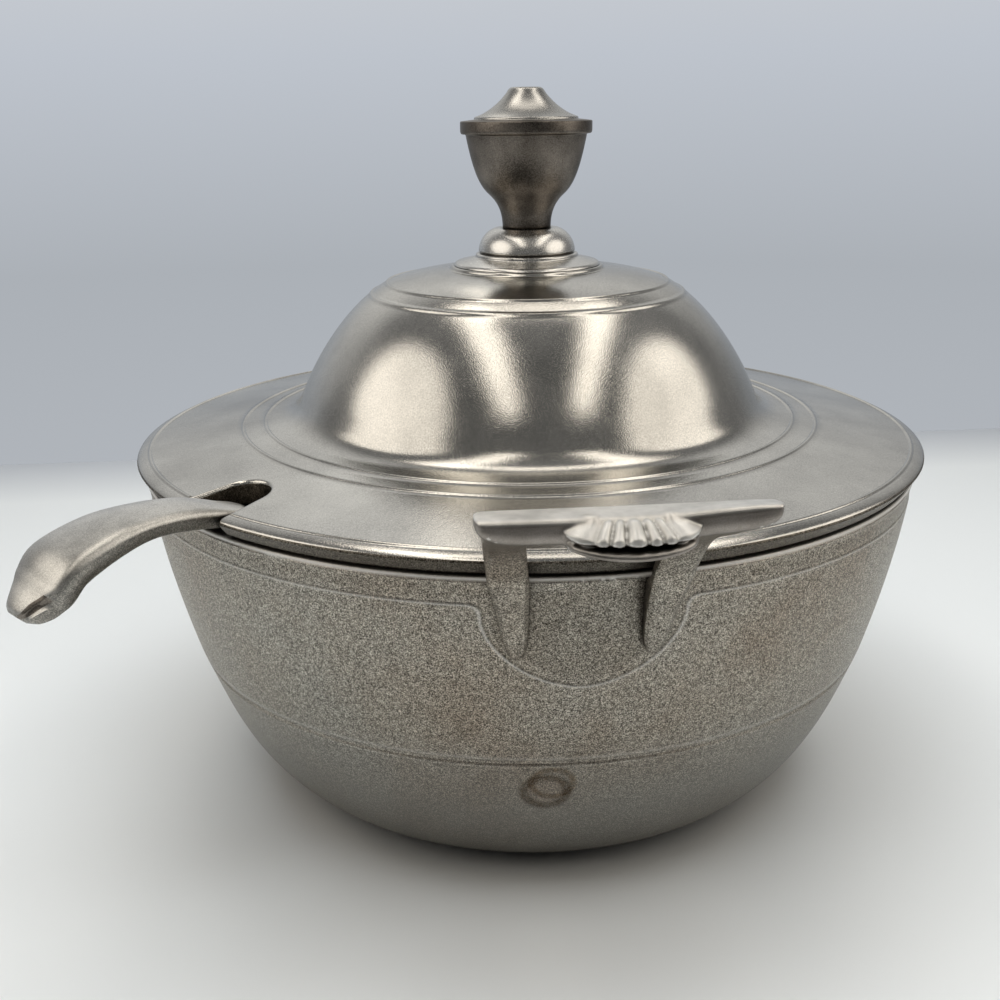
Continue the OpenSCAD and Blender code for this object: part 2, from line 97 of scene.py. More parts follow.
BAR_HALF_LENGTH = 30.6
BAR_REACH = 52
BAR_RISE = 32.6
BAR_DEPTH = 9
BAR_THICKNESS = 6
BAR_TWIST = 8
LEG_INNER = 14.4
LEG_WIDTH = 10
LEG_DEPTH = 5.6
LEG_DROP = 22.5
SHELL_REACH = 6.5
BAR_TOP = BOWL_HEIGHT + BAR_RISE
BAR_FRONT = RIM_RADIUS + BAR_REACH
HANDLE_VOXEL = 0.3

CUP_RADIUS = 38
CUP_HEIGHT = 35
CUP_WALL = 2.4
CUP_OFFSET = 40
CUP_BASE = FLOOR + 0.35
CUP_RIM = CUP_BASE + CUP_HEIGHT
HOOK_HEIGHT = BOWL_HEIGHT + 0.35 + 3.7
GRIP_LENGTH = 55
TIP_OUT = RIM_INNER + GRIP_LENGTH + 5.2
SLOT_END = LID_RADIUS - SLOT_LENGTH


# Curves and outlines

def bezier(points, steps=16):
    """Points along the curve of the control points."""
    line = []
    for k in range(steps + 1):
        level = [Vector(p) for p in points]
        while len(level) > 1:
            level = [a.lerp(b, k / steps) for a, b in zip(level, level[1:])]
        line.append(level[0])
    return line


def through(points, steps):
    """Smooth curve through the points, with the same number of steps in each stretch."""
    points = [Vector(p) for p in points]
    last = len(points) - 1
    line = [points[0]]
    for i in range(last):
        before, after = points[max(i - 1, 0)], points[min(i + 2, last)]
        start, end = points[i], points[i + 1]
        controls = [start, start + (end - before) / 6, end - (after - start) / 6, end]
        line += bezier(controls, steps)[1:]
    return line


def rounded(corners, steps=5):
    """Line through corners given as (radius, height, rounding), with each corner rounded."""
    line = []
    for i, (radius, height, rounding) in enumerate(corners):
        corner = Vector((radius, height))
        if rounding == 0 or i in (0, len(corners) - 1):
            line.append(corner)
            continue
        back = Vector(corners[i - 1][:2]) - corner
        ahead = Vector(corners[i + 1][:2]) - corner
        start = corner + back.normalized() * min(rounding, back.length * 0.48)
        end = corner + ahead.normalized() * min(rounding, ahead.length * 0.48)
        line += bezier([start, corner, end], steps)
    return line


def lookup(value, table):
    """Second number of a table of pairs, at a value of the first, by straight lines."""
    table = sorted((p[0], p[1]) for p in table)
    if value <= table[0][0]:
        return table[0][1]
    for (a, low), (b, high) in zip(table, table[1:]):
        if value <= b:
            return low + (high - low) * (value - a) / (b - a)
    return table[-1][1]


def bell(value, centre, width):
    """1 at the centre, and falling off smoothly within a width on either side."""
    return math.exp(-((value - centre) / width) ** 2)


def smooth_step(low, high, value):
    """0 below low, 1 above high, and a smooth rise between."""
    share = min(max((value - low) / (high - low), 0), 1)
    return share * share * (3 - 2 * share)


# Meshes

def add_object(name, data):
    """New object in the scene for a mesh, lamp or camera."""
    item = bpy.data.objects.new(name, data)
    bpy.context.scene.collection.objects.link(item)
    return item


def make_object(name, verts, faces):
    """Smooth mesh object from points in millimetres, with its faces turned outwards."""
    mesh = bpy.data.meshes.new(name)
    mesh.from_pydata([Vector(v) * MM for v in verts], [], faces)
    tidy = bmesh.new()
    tidy.from_mesh(mesh)
    bmesh.ops.recalc_face_normals(tidy, faces=tidy.faces)
    tidy.to_mesh(mesh)
    tidy.free()
    mesh.shade_smooth()
    return add_object(name, mesh)


def even_angles(count):
    return [2 * math.pi * j / count for j in range(count)]


def lathe(name, profile, angles, shift=None):
    """Solid turned about Z; a profile that doesn't start and end on the axis is a closed loop."""
    verts, rings = [], []
    for index, (radius, height) in enumerate(profile):
        if radius < 1e-6:
            rings.append([len(verts)])
            verts.append((0, 0, height))
            continue
        rings.append(list(range(len(verts), len(verts) + len(angles))))
        for angle in angles:
            r = radius + (shift(index, angle, radius, height) if shift else 0)
            verts.append((r * math.sin(angle), -r * math.cos(angle), height))
    pairs = list(zip(rings, rings[1:]))
    if len(rings[0]) > 1:
        pairs.append((rings[-1], rings[0]))
    faces = []
    for low, high in pairs:
        for j in range(len(angles)):
            k = (j + 1) % len(angles)
            corners = [low[j % len(low)], low[k % len(low)], high[k % len(high)], high[j % len(high)]]
            faces.append(tuple(dict.fromkeys(corners)))
    return make_object(name, verts, faces)


def loft(name, rings):
    """Solid skin over a row of closed rings that have the same number of points."""
    count = len(rings[0])
    faces = [tuple(range(count)), tuple(range((len(rings) - 1) * count, len(rings) * count))]
    for i in range(len(rings) - 1):
        for j in range(count):
            k = (j + 1) % count
            faces.append((i * count + j, i * count + k, (i + 1) * count + k, (i + 1) * count + j))
    return make_object(name, [p for ring in rings for p in ring], faces)


def dress(piece, *materials):
    """Adds the materials to the piece's list."""
    for material in materials:
        piece.data.materials.append(material)


def use_second(faces):
    """Gives the faces their piece's second material."""
    for face in faces:
        face.material_index = 1


def apply_modifiers(piece):
    """Puts the result of the modifiers into the mesh."""
    bpy.context.view_layer.update()
    graph = bpy.context.evaluated_depsgraph_get()
    mesh = bpy.data.meshes.new_from_object(piece.evaluated_get(graph))
    piece.modifiers.clear()
    piece.data = mesh


def combine(piece, other, operation):
    """Joins the other solid to the piece or cuts it away, and deletes it."""
    step = piece.modifiers.new("combine", "BOOLEAN")
    step.operation = operation
    step.object = other
    step.solver = "EXACT"
    apply_modifiers(piece)
    bpy.data.objects.remove(other)


def sharpen(piece, degrees):
    """Smooth shading that breaks at edges sharper than the angle."""
    piece.data.shade_smooth()
    piece.data.set_sharp_from_angle(angle=math.radians(degrees))


def merge(name, parts):
    """One object from several, kept as separate shells."""
    whole = bmesh.new()
    for part in parts:
        whole.from_mesh(part.data)
        bpy.data.objects.remove(part)
    mesh = bpy.data.meshes.new(name)
    whole.to_mesh(mesh)
    whole.free()
    return add_object(name, mesh)


# Bowl

UPPER_WALL = bezier([
    (RIM_RADIUS, BOWL_HEIGHT - 1.6),
    ((RIM_RADIUS + LEDGE_RADIUS) / 2 + WALL_BULGE, (BOWL_HEIGHT + LEDGE_HEIGHT) / 2),
    (LEDGE_RADIUS, LEDGE_HEIGHT),
], 40)


def wall_radius(height):
    """Radius of the upper wall's outside at a height."""
    return lookup(height, [(p.y, p.x) for p in UPPER_WALL])


def pad_depth(across, drop):
    """How far inside the outline of the band and pad a point of the wall is, in millimetres."""
    band = BAND_HEIGHT - drop
    side_end = PAD_DROP * 0.36
    low = max(drop - side_end, 0) / (PAD_DROP - side_end)
    reach = (abs(across / PAD_HALF_WIDTH) ** PAD_POWER + low ** PAD_POWER) ** (1 / PAD_POWER)
    pad = (1 - reach) * (PAD_HALF_WIDTH + PAD_DROP - side_end) / 2
    blend = max(PAD_CORNER - abs(band - pad), 0) / PAD_CORNER
    return max(band, pad) + blend * blend * PAD_CORNER / 4


def bowl_angles():
    """Directions round the bowl, close together where the pads are."""
    pad_half_angle, fine, coarse = 15.5, 0.2, 1.5
    angles = []
    degrees = 0.0
    while degrees < 360:
        angles.append(math.radians(degrees))
        near_pad = abs((degrees + 90) % 180 - 90) < pad_half_angle
        degrees += fine if near_pad else coarse
    return angles


def build_bowl():
    fine_row, coarse_row, rim_steps = 0.35, 2, 6
    wall_top = BOWL_HEIGHT - 1.4
    pad_zone = BOWL_HEIGHT - PAD_DROP - 3
    heights = [wall_top - fine_row * k for k in range(int((wall_top - pad_zone) / fine_row))]
    coarse_rows = 1 + int((pad_zone - LEDGE_HEIGHT - 1.2) / coarse_row)
    heights += [pad_zone - coarse_row * k for k in range(coarse_rows)]
    wall = [(wall_radius(z), z) for z in heights]
    ledge_foot = (LEDGE_RADIUS - LEDGE_STEP - 0.25, LEDGE_HEIGHT - 1.4)
    shoulder = LEDGE_RADIUS - 6.4
    belly = BASE_RADIUS + 23.1
    ledge = rounded([
        (wall_radius(LEDGE_HEIGHT + 1), LEDGE_HEIGHT + 1, 0),
        (LEDGE_RADIUS, LEDGE_HEIGHT + 0.1, 0.35),
        (LEDGE_RADIUS - LEDGE_STEP, LEDGE_HEIGHT - 0.35, 0.4),
        (*ledge_foot, 0),
    ])
    lower = bezier([
        ledge_foot,
        (shoulder, LEDGE_HEIGHT * 0.68),
        (belly, LEDGE_HEIGHT * 0.21),
        (BASE_RADIUS + 0.6, 0.5),
    ], 26)
    inner = bezier([
        (BASE_RADIUS - BOWL_WALL, FLOOR),
        (belly - BOWL_WALL * 1.5, FLOOR + LEDGE_HEIGHT * 0.12),
        (shoulder - BOWL_WALL, LEDGE_HEIGHT * 0.68),
        (LEDGE_RADIUS - 1.2 - BOWL_WALL, LEDGE_HEIGHT),
    ], 22)
    inner_wall = [(p.x - BOWL_WALL - 0.5, p.y) for p in reversed(UPPER_WALL[6:-1:3])]
    rim = rounded([
        (RIM_INNER, BOWL_HEIGHT - BAND_HEIGHT, 0),
        (RIM_INNER, BOWL_HEIGHT, 0.7),
        (RIM_RADIUS - 0.1, BOWL_HEIGHT, 0.9),
        (RIM_RADIUS, wall_top, 0),
    ], rim_steps)
    cavity = [(0, FLOOR), (BASE_RADIUS * 0.5, FLOOR)] + inner + inner_wall
    base = [(BASE_RADIUS - 0.5, 0), (BASE_RADIUS * 0.6, 0), (0, 0)]
    profile = cavity + rim + wall + ledge + lower + base
    rim_start = len(cavity) + len(rim) - rim_steps - 1
    outside_end = len(profile) - len(base)

    def shift(index, angle, radius, height):
        if index < rim_start or index >= outside_end:
            return 0
        place = Vector((math.sin(angle) * radius, math.cos(angle) * radius, height)) * 0.03
        uneven = 0.12 * noise.noise(place) * smooth_step(0, 4, height) - 0.12
        drop = BOWL_HEIGHT - height
        inside = pad_depth(radius * math.sin(angle), drop)
        return uneven - BAND_RECESS * smooth_step(-0.2, 0.3, inside) * smooth_step(1.1, 2.8, drop)

    bowl = lathe("bowl", profile, bowl_angles(), shift)
    mark_bowl(bowl)
    return bowl


def mark_bowl(bowl):
    """Notes for the material: where the outside is rubbed bright with a painted highlight, and where painted
    shade falls in corners, between the legs and on the rim under the lid's edge.
    """
    rubbed_and_highlight = bowl.data.attributes.new("rubbed_and_highlight", "FLOAT", "POINT")
    painted_shade = bowl.data.attributes.new("painted_shade", "FLOAT", "POINT")
    for index, vertex in enumerate(bowl.data.vertices):
        x, y, z = vertex.co / MM
        radial = math.hypot(x, y)
        drop = BOWL_HEIGHT - z
        # Painted shade on the rim's top, under the lid's edge.
        if drop < 0.3:
            painted_shade.data[index].value = smooth_step(RIM_RADIUS - 0.4, RIM_RADIUS - 0.9, radial)
        if z < LEDGE_HEIGHT - 4 or radial < wall_radius(z) - 1.4:
            continue
        inside = pad_depth(x, drop)
        # Rubbed edges, lighter as real wear and as a painted highlight: the pad's outline, the ledge and the
        # rim's edge.
        edge = 0.4 * bell(inside, -0.3, 0.3)
        ledge = 0.15 * bell(z, LEDGE_HEIGHT + 0.5, 0.5)
        rubbed_and_highlight.data[index].value = max(bell(drop, 0.6, 0.5), edge, ledge)
        # Painted shade: a dark line just inside the pad's outline, and the pad between the legs darker under
        # the bar.
        below_band = smooth_step(BAND_HEIGHT, BAND_HEIGHT + 4, drop)
        corner = 0.4 * bell(inside, 0.5, 0.4) * below_band
        between_legs = 0.3 * smooth_step(0.5, 4, inside) * smooth_step(1.5, 6, drop)
        painted_shade.data[index].value = max(corner, between_legs)


# Lid

EDGE_ROLL = 3
BRIM_LINE = [(LID_RADIUS - EDGE_ROLL, BRIM_TOP + 0.4), (FLARE_RADIUS, FLARE_FOOT - 0.7)]
FLARE_LINE = bezier([
    (FLARE_RADIUS, FLARE_FOOT - 0.7),
    (DOME_RADIUS + 4.7, FLARE_FOOT + 0.1),
    (DOME_RADIUS + 2.7, FLARE_FOOT + 2.1),
    (DOME_RADIUS + 1.4, FLARE_FOOT + 4.9),
], 24) + [Vector((DOME_RADIUS + 0.7, FLARE_FOOT + 6.4)), Vector((DOME_RADIUS, DOME_BASE))]
DOME_LINE = bezier([
    (DOME_RADIUS, DOME_BASE),
    (DOME_RADIUS - 4.5, DOME_BASE + 10.25),
    (CROWN_RADIUS + 13, CROWN_EDGE - 6.8),
    (CROWN_RADIUS, CROWN_EDGE),
], 40)
CROWN_LINE = bezier([
    (CROWN_RADIUS, CROWN_EDGE),
    (CROWN_RADIUS - 7, CROWN_EDGE + 2.4),
    (STEP_RADIUS + 4, STEP_TOP - 1.4),
], 12)
RINGS = [LID_RADIUS - EDGE_ROLL - 1, DOME_RADIUS + 20.3, DOME_RADIUS + 13.1, CROWN_RADIUS + 5.3, CROWN_RADIUS]
RING_HALF_WIDTH = 0.75
RING_HEIGHT = 0.4


def lid_top(radius):
    """Height of the lid's top without its rings, between the edge and the step."""
    return lookup(radius, BRIM_LINE + FLARE_LINE[1:] + DOME_LINE[1:] + CROWN_LINE[1:])


def with_rings(line):
    """The line with a fine raised ring wherever one of the rings lies on it."""
    points = [Vector(p) for p in line]
    result = []
    for a, b in zip(points, points[1:]):
        cuts = [0.0]
        for ring in RINGS:
            for k in range(-4, 5):
                share = (ring + k * RING_HALF_WIDTH / 4 - a.x) / (b.x - a.x)
                if 0 < share < 1:
                    cuts.append(share)
        result += [a.lerp(b, share) for share in sorted(cuts)]
    result.append(points[-1])
    for p in result:
        for ring in RINGS:
            off = abs(p.x - ring) / RING_HALF_WIDTH
            if off < 1:
                p.y += RING_HEIGHT * (1 - off * off) ** 1.5
    return result


def slot_outline(grow):
    """Outline of the slot as (across, outwards), widened by grow, from one mouth corner to the other."""
    end_radius = SLOT_WIDTH * 0.41
    end_centre = SLOT_END + end_radius
    mouth = LID_RADIUS - SLOT_MOUTH_ROUND
    side = []
    for k in range(13):
        share = k / 12
        out = end_centre + (mouth - end_centre) * share
        side.append((end_radius + (SLOT_WIDTH / 2 - end_radius) * share + grow, out))
    for k in range(1, 9):
        turn = math.radians(80 * k / 8)
        extra = SLOT_MOUTH_ROUND * (1 - math.cos(turn))
        side.append((SLOT_WIDTH / 2 + extra + grow, mouth + SLOT_MOUTH_ROUND * math.sin(turn)))
    side.append((side[-1][0] + 4, LID_RADIUS + 8))
    arc = []
    for k in range(1, 24):
        turn = math.pi * k / 24
        reach = end_radius + grow
        arc.append((reach * math.cos(turn), end_centre - reach * math.sin(turn)))
    return list(reversed(side)) + arc + [(-x, out) for x, out in side]


def slot_cutter():
    """Solid that cuts the slot and rounds its upper edge; its upright walls get the second material."""
    levels = [(SLOT_ROUND * 1.2, -9), (SLOT_ROUND * 1.2, -0.12)]
    for degrees in range(15, 91, 15):
        turn = math.radians(degrees)
        levels.append((SLOT_ROUND * (1 - math.sin(turn)), SLOT_ROUND * (1 - math.cos(turn))))
    levels.append((0, 26))
    rings = []
    for grow, depth in levels:
        ring = []
        for x, out in slot_outline(grow):
            top = lid_top(min(math.hypot(x, out), LID_RADIUS))
            ring.append((x, -out, top - depth))
        rings.append(ring)
    cutter = loft("slot_cutter", rings)
    wall = len(cutter.data.polygons) - len(rings[0])
    use_second(cutter.data.polygons[wall:])
    cutter.data.transform(Matrix.Rotation(SLOT_AZIMUTH, 4, "Z"))
    return cutter


def build_lid(top_metal, side_metal):
    spigot_outer = RIM_INNER - 0.6
    spigot_inner = spigot_outer - 3
    seat_edge = RIM_RADIUS - 1.6
    inner_dome = DOME_RADIUS - LID_WALL
    top = with_rings(bezier(BRIM_LINE, 18) + FLARE_LINE[1:] + DOME_LINE[1:] + CROWN_LINE[1:])
    step = rounded([
        (STEP_RADIUS + 4, STEP_TOP - 1.4, 0),
        (STEP_RADIUS, STEP_TOP - 1.1, 0.5),
        (STEP_RADIUS - 0.6, STEP_TOP, 0.4),
        (HOLE_RADIUS, STEP_TOP, 0),
    ])
    under = [Vector((HOLE_RADIUS, STEP_UNDER)), Vector((STEP_RADIUS, STEP_UNDER))]
    under += bezier([
        (CROWN_RADIUS - LID_WALL * 0.6, CROWN_EDGE - LID_WALL * 0.9),
        (CROWN_RADIUS + 12 - LID_WALL, CROWN_EDGE - 7.8),
        (inner_dome - 4.5, DOME_BASE + 9.25),
        (inner_dome, DOME_BASE - 1),
    ], 20)
    under += bezier([
        (inner_dome, DOME_BASE - 1),
        (inner_dome + 2.4, DOME_BASE - 5),
        (inner_dome + 4, FLARE_FOOT - 4.4),
        (FLARE_RADIUS - LID_WALL, FLARE_FOOT - 5.7),
    ], 14)[1:]
    rim = rounded([
        (FLARE_RADIUS, FLARE_FOOT - 6.4, 0),
        (spigot_inner - 1, LID_PLANE, 1),
        (spigot_inner, BOWL_HEIGHT - SPIGOT_DEPTH, 0.6),
        (spigot_outer - 0.5, BOWL_HEIGHT - SPIGOT_DEPTH, 0.6),
        (spigot_outer, BOWL_HEIGHT, 0.3),
        (seat_edge, BOWL_HEIGHT, 0.3),
        (seat_edge, LID_PLANE, 0.3),
        (RIM_RADIUS - 0.3, LID_PLANE, 0.4),
        (LID_RADIUS, LID_PLANE + 3.4, 0),
    ], 5)
    roll = bezier([
        (LID_RADIUS, LID_PLANE + 3.4),
        (LID_RADIUS - 0.1, BRIM_TOP - 0.7),
        (LID_RADIUS - 1.3, BRIM_TOP - 0.2),
        (LID_RADIUS - EDGE_ROLL, BRIM_TOP + 0.4),
    ], 12)[1:-1]
    angles = even_angles(360)
    lid = lathe("lid_shell", under + rim + roll + top[:-1] + step, angles)
    cast_rows = len(under) + len(rim) + 2
    cutter = slot_cutter()
    dress(lid, top_metal, side_metal)
    dress(cutter, top_metal, side_metal)
    use_second(lid.data.polygons[:cast_rows * len(angles)])
    combine(lid, cutter, "DIFFERENCE")
    sharpen(lid, 32)
    return lid


# Knob, its collar and its screw

def build_collar():
    tall = COLLAR_TOP - STEP_TOP
    bead_base = STEP_TOP + tall * 0.36
    foot = rounded([
        (HOLE_RADIUS, STEP_TOP, 0),
        (STEP_RADIUS - 1.4, STEP_TOP, 0.3),
        (STEP_RADIUS - 2, STEP_TOP + 1, 0.6),
        (BEAD_RADIUS + 2.4, bead_base - 2, 0.8),
        (BEAD_RADIUS + 1, bead_base - 1.6, 0.3),
        (BEAD_RADIUS + 1, bead_base - 0.6, 0.5),
        (BEAD_RADIUS - 0.8, bead_base - 0.2, 0.3),
        (BEAD_RADIUS, bead_base + 0.3, 0),
    ])
    bead = bezier([
        (BEAD_RADIUS, bead_base + 0.3),
        (BEAD_RADIUS - 0.2, bead_base + tall * 0.28),
        (BEAD_RADIUS - 2, COLLAR_TOP - 1.2),
        (STEM_RADIUS + 2.6, COLLAR_TOP - 0.1),
    ], 22)
    return lathe("collar", foot + bead[1:] + [Vector((HOLE_RADIUS, COLLAR_TOP))], even_angles(128))


def build_knob(urn_metal, cap_metal):
    wide = KNOB_RADIUS
    tall = KNOB_TIP - COLLAR_TOP
    waist = COLLAR_TOP + tall * 0.255
    flange_base = COLLAR_TOP + tall * 0.675
    flange_top = COLLAR_TOP + tall * 0.765
    stem = [Vector((HOLE_RADIUS, COLLAR_TOP))]
    stem += bezier([
        (STEM_RADIUS, COLLAR_TOP),
        (STEM_RADIUS, COLLAR_TOP + tall * 0.13),
        (wide * 0.46, waist - tall * 0.06),
        (wide * 0.6, waist),
    ], 20)
    urn = bezier([
        (wide * 0.6, waist),
        (wide * 0.76, waist + tall * 0.075),
        (wide * 0.84, flange_base - tall * 0.2),
        (wide * 0.915, flange_base - 0.8),
    ], 22)[1:]
    flange = rounded([
        (wide * 0.915, flange_base - 0.8, 0),
        (wide * 0.92, flange_base - 0.1, 0.4),
        (wide * 0.985, flange_base, 0.4),
        (wide, flange_base + 0.7, 0.4),
        (wide, flange_top, 0.45),
        (wide * 0.81, flange_top + 0.45, 0),
    ])[1:]
    cap = rounded([
        (wide * 0.81, flange_top + 0.45, 0),
        (wide * 0.79, flange_top + 0.5, 0.3),
        (wide * 0.785, flange_top + 1.2, 0.4),
        (wide * 0.74, flange_top + 1.5, 0),
    ])[1:]
    cap += bezier([
        (wide * 0.74, flange_top + 1.5),
        (wide * 0.57, flange_top + 2.7),
        (wide * 0.41, KNOB_TIP - 4.6),
        (wide * 0.3, KNOB_TIP - 1.8),
    ], 22)[1:]
    cap += rounded([
        (wide * 0.3, KNOB_TIP - 1.8, 0),
        (wide * 0.24, KNOB_TIP, 1.2),
        (0.01, KNOB_TIP, 0),
    ])[1:]
    bore_end = COLLAR_TOP + SCREW_GRIP + 1.5
    bore = [Vector((0.01, bore_end)), Vector((HOLE_RADIUS, bore_end))]
    angles = even_angles(144)
    knob = lathe("knob_urn", stem + urn + flange + cap + bore, angles)
    dress(knob, urn_metal, cap_metal)
    first = (len(stem) + len(urn) + len(flange) - 1) * len(angles)
    use_second(knob.data.polygons[first:first + len(cap) * len(angles)])
    return knob


def build_washer():
    bore = HOLE_RADIUS + 0.08
    under = STEP_UNDER - WASHER_THICKNESS
    profile = rounded([
        (bore, STEP_UNDER - 0.5, 0),
        (bore, STEP_UNDER, 0.2),
        (WASHER_RADIUS, STEP_UNDER, 0.25),
        (WASHER_RADIUS, under, 0.45),
        (bore, under, 0.2),
        (bore, under + 0.5, 0),
    ])
    return lathe("washer", profile, even_angles(72))


def build_screw():
    head_top = STEP_UNDER - WASHER_THICKNESS
    head_base = head_top - HEAD_HEIGHT
    shank_top = COLLAR_TOP + SCREW_GRIP
    profile = rounded([
        (0, head_base, 0),
        (HEAD_RADIUS * 0.8, head_base, 1.2),
        (HEAD_RADIUS, head_top - 0.4, 0.5),
        (HEAD_RADIUS, head_top, 0.2),
        (SCREW_RADIUS, head_top, 0.2),
        (SCREW_RADIUS, shank_top, 0.5),
        (0, shank_top, 0),
    ])
    screw = lathe("screw", profile, even_angles(64))
    depth = HEAD_HEIGHT * 0.45
    half_length, half_width = HEAD_RADIUS + 1, 0.7
    corners = [(-1, -1), (1, -1), (1, 1), (-1, 1)]
    ring = [(half_length * x, half_width * y) for x, y in corners]
    cutter = loft("screw_cutter", [[(x, y, z) for x, y in ring] for z in (head_base - 1, head_base + depth)])
    combine(screw, cutter, "DIFFERENCE")
    sharpen(screw, 32)
    return screw


# Handles

def oval(half_x, half_y, squareness, count=28):
    """Closed oval with flattened sides."""
    ring = []
    for angle in even_angles(count):
        c, s = math.cos(angle), math.sin(angle)
        x = math.copysign(abs(c) ** (2 / squareness), c)
        y = math.copysign(abs(s) ** (2 / squareness), s)
        ring.append((half_x * x, half_y * y))
    return ring


def chamfered(half_x, half_y, cut):
    """Closed rectangle with its corners cut off."""
    cut = min(cut, half_x * 0.5, half_y * 0.5)
    corner = [(half_x, half_y - cut), (half_x - cut, half_y)]
    side = corner + [(-x, y) for x, y in reversed(corner)]
    return side + [(-x, -y) for x, y in side]


def build_leg(side):
    """One leg from its point on the wall up to the bar, on the side given as 1 or -1."""
    def behind(drop):
        return wall_radius(BOWL_HEIGHT - drop) - RIM_RADIUS - 2.6

    inside, wide = LEG_INNER, LEG_WIDTH
    stations = [
        (-LEG_DROP, behind(LEG_DROP), -2.6, inside + 2, inside + 3.4),
        (-LEG_DROP + 1.2, behind(LEG_DROP), -1.6, inside + 0.9, inside + 4.6),
        (-LEG_DROP * 0.78, behind(LEG_DROP * 0.78), -0.1, inside + 0.1, inside + 6),
        (-LEG_DROP * 0.4, behind(LEG_DROP * 0.4), 2.8, inside, inside + wide * 0.8),
        (-2.5, -2.6, LEG_DEPTH + 0.2, inside + 0.2, inside + wide * 0.95),
        (1, 2.2, 7, inside + 0.4, inside + 0.4 + wide),
        (4.5, 3.4, 3.4 + LEG_DEPTH, inside + 0.8, inside + 0.8 + wide),
        (BAR_RISE * 0.43, BAR_REACH * 0.205, BAR_REACH * 0.205 + LEG_DEPTH * 1.2,
         inside + 2.2, inside + 2.1 + wide),
        (BAR_RISE * 0.66, BAR_REACH * 0.46, BAR_REACH * 0.46 + LEG_DEPTH * 1.7,
         inside + 3.4, inside + 3.2 + wide),
        (BAR_RISE - BAR_THICKNESS * 0.6, BAR_REACH - BAR_DEPTH + 0.4, BAR_REACH - 1.8,
         inside + 4.6, inside + 4.4 + wide),
    ]
    rings = []
    for rise, back, front, inner, outer in through(stations, 5):
        ring = []
        for x, y in chamfered((outer - inner) / 2, (front - back) / 2, 1.5):
            across = side * ((inner + outer) / 2 + x)
            ring.append((across, -RIM_RADIUS - (back + front) / 2 + y, BOWL_HEIGHT + rise))
        rings.append(ring)
    return loft("leg", rings)


def build_bar():
    """Grip bar: flat on top, cut back underneath at its ends, and twisted up a little at one of them."""
    ends = [
        (0.6, 1, 1),
        (0.8, 1, 0.96),
        (0.92, 0.97, 0.78),
        (0.97, 0.88, 0.6),
        (0.99, 0.66, 0.45),
        (1, 0.4, 0.3),
    ]
    stations = [(-along, size, height) for along, size, height in reversed(ends)] + [(0, 1, 1.04)] + ends
    rings = []
    for along, size, height in through(stations, 4):
        twist = math.radians(BAR_TWIST) * smooth_step(0.1, 0.9, along) + math.radians(2) * abs(along)
        ring = []
        half = (BAR_DEPTH / 2 * size, BAR_THICKNESS / 2 * height)
        for square, soft in zip(oval(*half, 6), oval(*half, 2.6)):
            x, z = square if square[1] > 0 else soft
            forward = BAR_DEPTH / 2 - x
            below = BAR_THICKNESS / 2 * height - z + 0.25 * (1 - height)
            ring.append((BAR_HALF_LENGTH * along, -BAR_FRONT + BAR_DEPTH - forward,
                         BAR_TOP - below + forward * math.sin(twist)))
        rings.append(ring)
    return loft("bar", rings)


SHELL_HALF_WIDTH = 14.8
SHELL_LOBES = [(0, 2, 1.9), (3.7, 1.35, 1.7), (6.7, 1.35, 1.7), (11.2, 3.1, 1.6)]


def lobe_height(across):
    """Height of the shell's lobes at a place across its front edge, with a groove between lobes."""
    best = 0
    for centre, half_width, height in SHELL_LOBES:
        off = (abs(across) - centre) / half_width
        if abs(off) < 1:
            best = max(best, height * math.sqrt(1 - off * off))
    return best


def shell_section(across):
    """Side view of the shell at a place across: fanned top, scalloped edge and undercut."""
    share = across / SHELL_HALF_WIDTH
    tallest = max(height for centre, half_width, height in SHELL_LOBES)
    edge = SHELL_REACH * (1 - 0.5 * share * share) - tallest
    lobe = lobe_height(across)
    ear = smooth_step(7.6, 9.4, abs(across))
    root = BAR_DEPTH / 3 * (1 + 0.7 * ear)
    end = max(1 - abs(share) ** 7, 0.01) ** 0.5
    ring = []
    for k in range(25):
        along = k / 24
        swell = lobe * smooth_step(0.12, 0.5, along)
        dimple = 0.35 * ear * bell(math.hypot(abs(across) - 11, 9 * (along - 0.6)), 0, 1.3)
        forward = -root + ((edge + root) * along + 0.55 * (swell - dimple)) * end
        lift = 0.8 * ear * bell(along, 0.35, 0.3)
        below = 0.5 + (3.4 * along ** 1.6 - 0.75 * (swell - dimple) - lift) * end
        ring.append((across * (0.55 + 0.45 * along), forward, below))
    ring.append((across, -root + (edge + 0.7 * lobe + root) * end, 0.6 + 3.4 * end))
    ring.append((across, -root + (edge - 2 + root) * end, 0.7 + 3.8 * end))
    ring.append((across * 0.8, -1.5, 1 + 4.2 * end))
    ring.append((across * 0.55, -root, 1 + 4 * end))
    return [(x, -BAR_FRONT - forward, BAR_TOP - below) for x, forward, below in ring]


def build_shell():
    """Scallop shell in the middle of the bar, over a smooth lip."""
    count = 156
    fan = loft("fan", [shell_section(SHELL_HALF_WIDTH * (2 * k / count - 1)) for k in range(count + 1)])
    lip_rings = []
    for k in range(25):
        share = k / 12 - 1
        reach = (SHELL_REACH - 0.4) * (1 - share * share) ** 0.55 + 0.1
        half_depth = (reach + 4) / 2
        ring = []
        for y, z in oval(half_depth, 1.3 * (1 - 0.35 * share * share), 2.6, 24):
            drop = 6.3 - 1.2 * share * share
            ring.append((share * 13, -BAR_FRONT + 4 - half_depth + y, BAR_TOP - drop + z))
        lip_rings.append(ring)
    return [fan, loft("lip", lip_rings)]


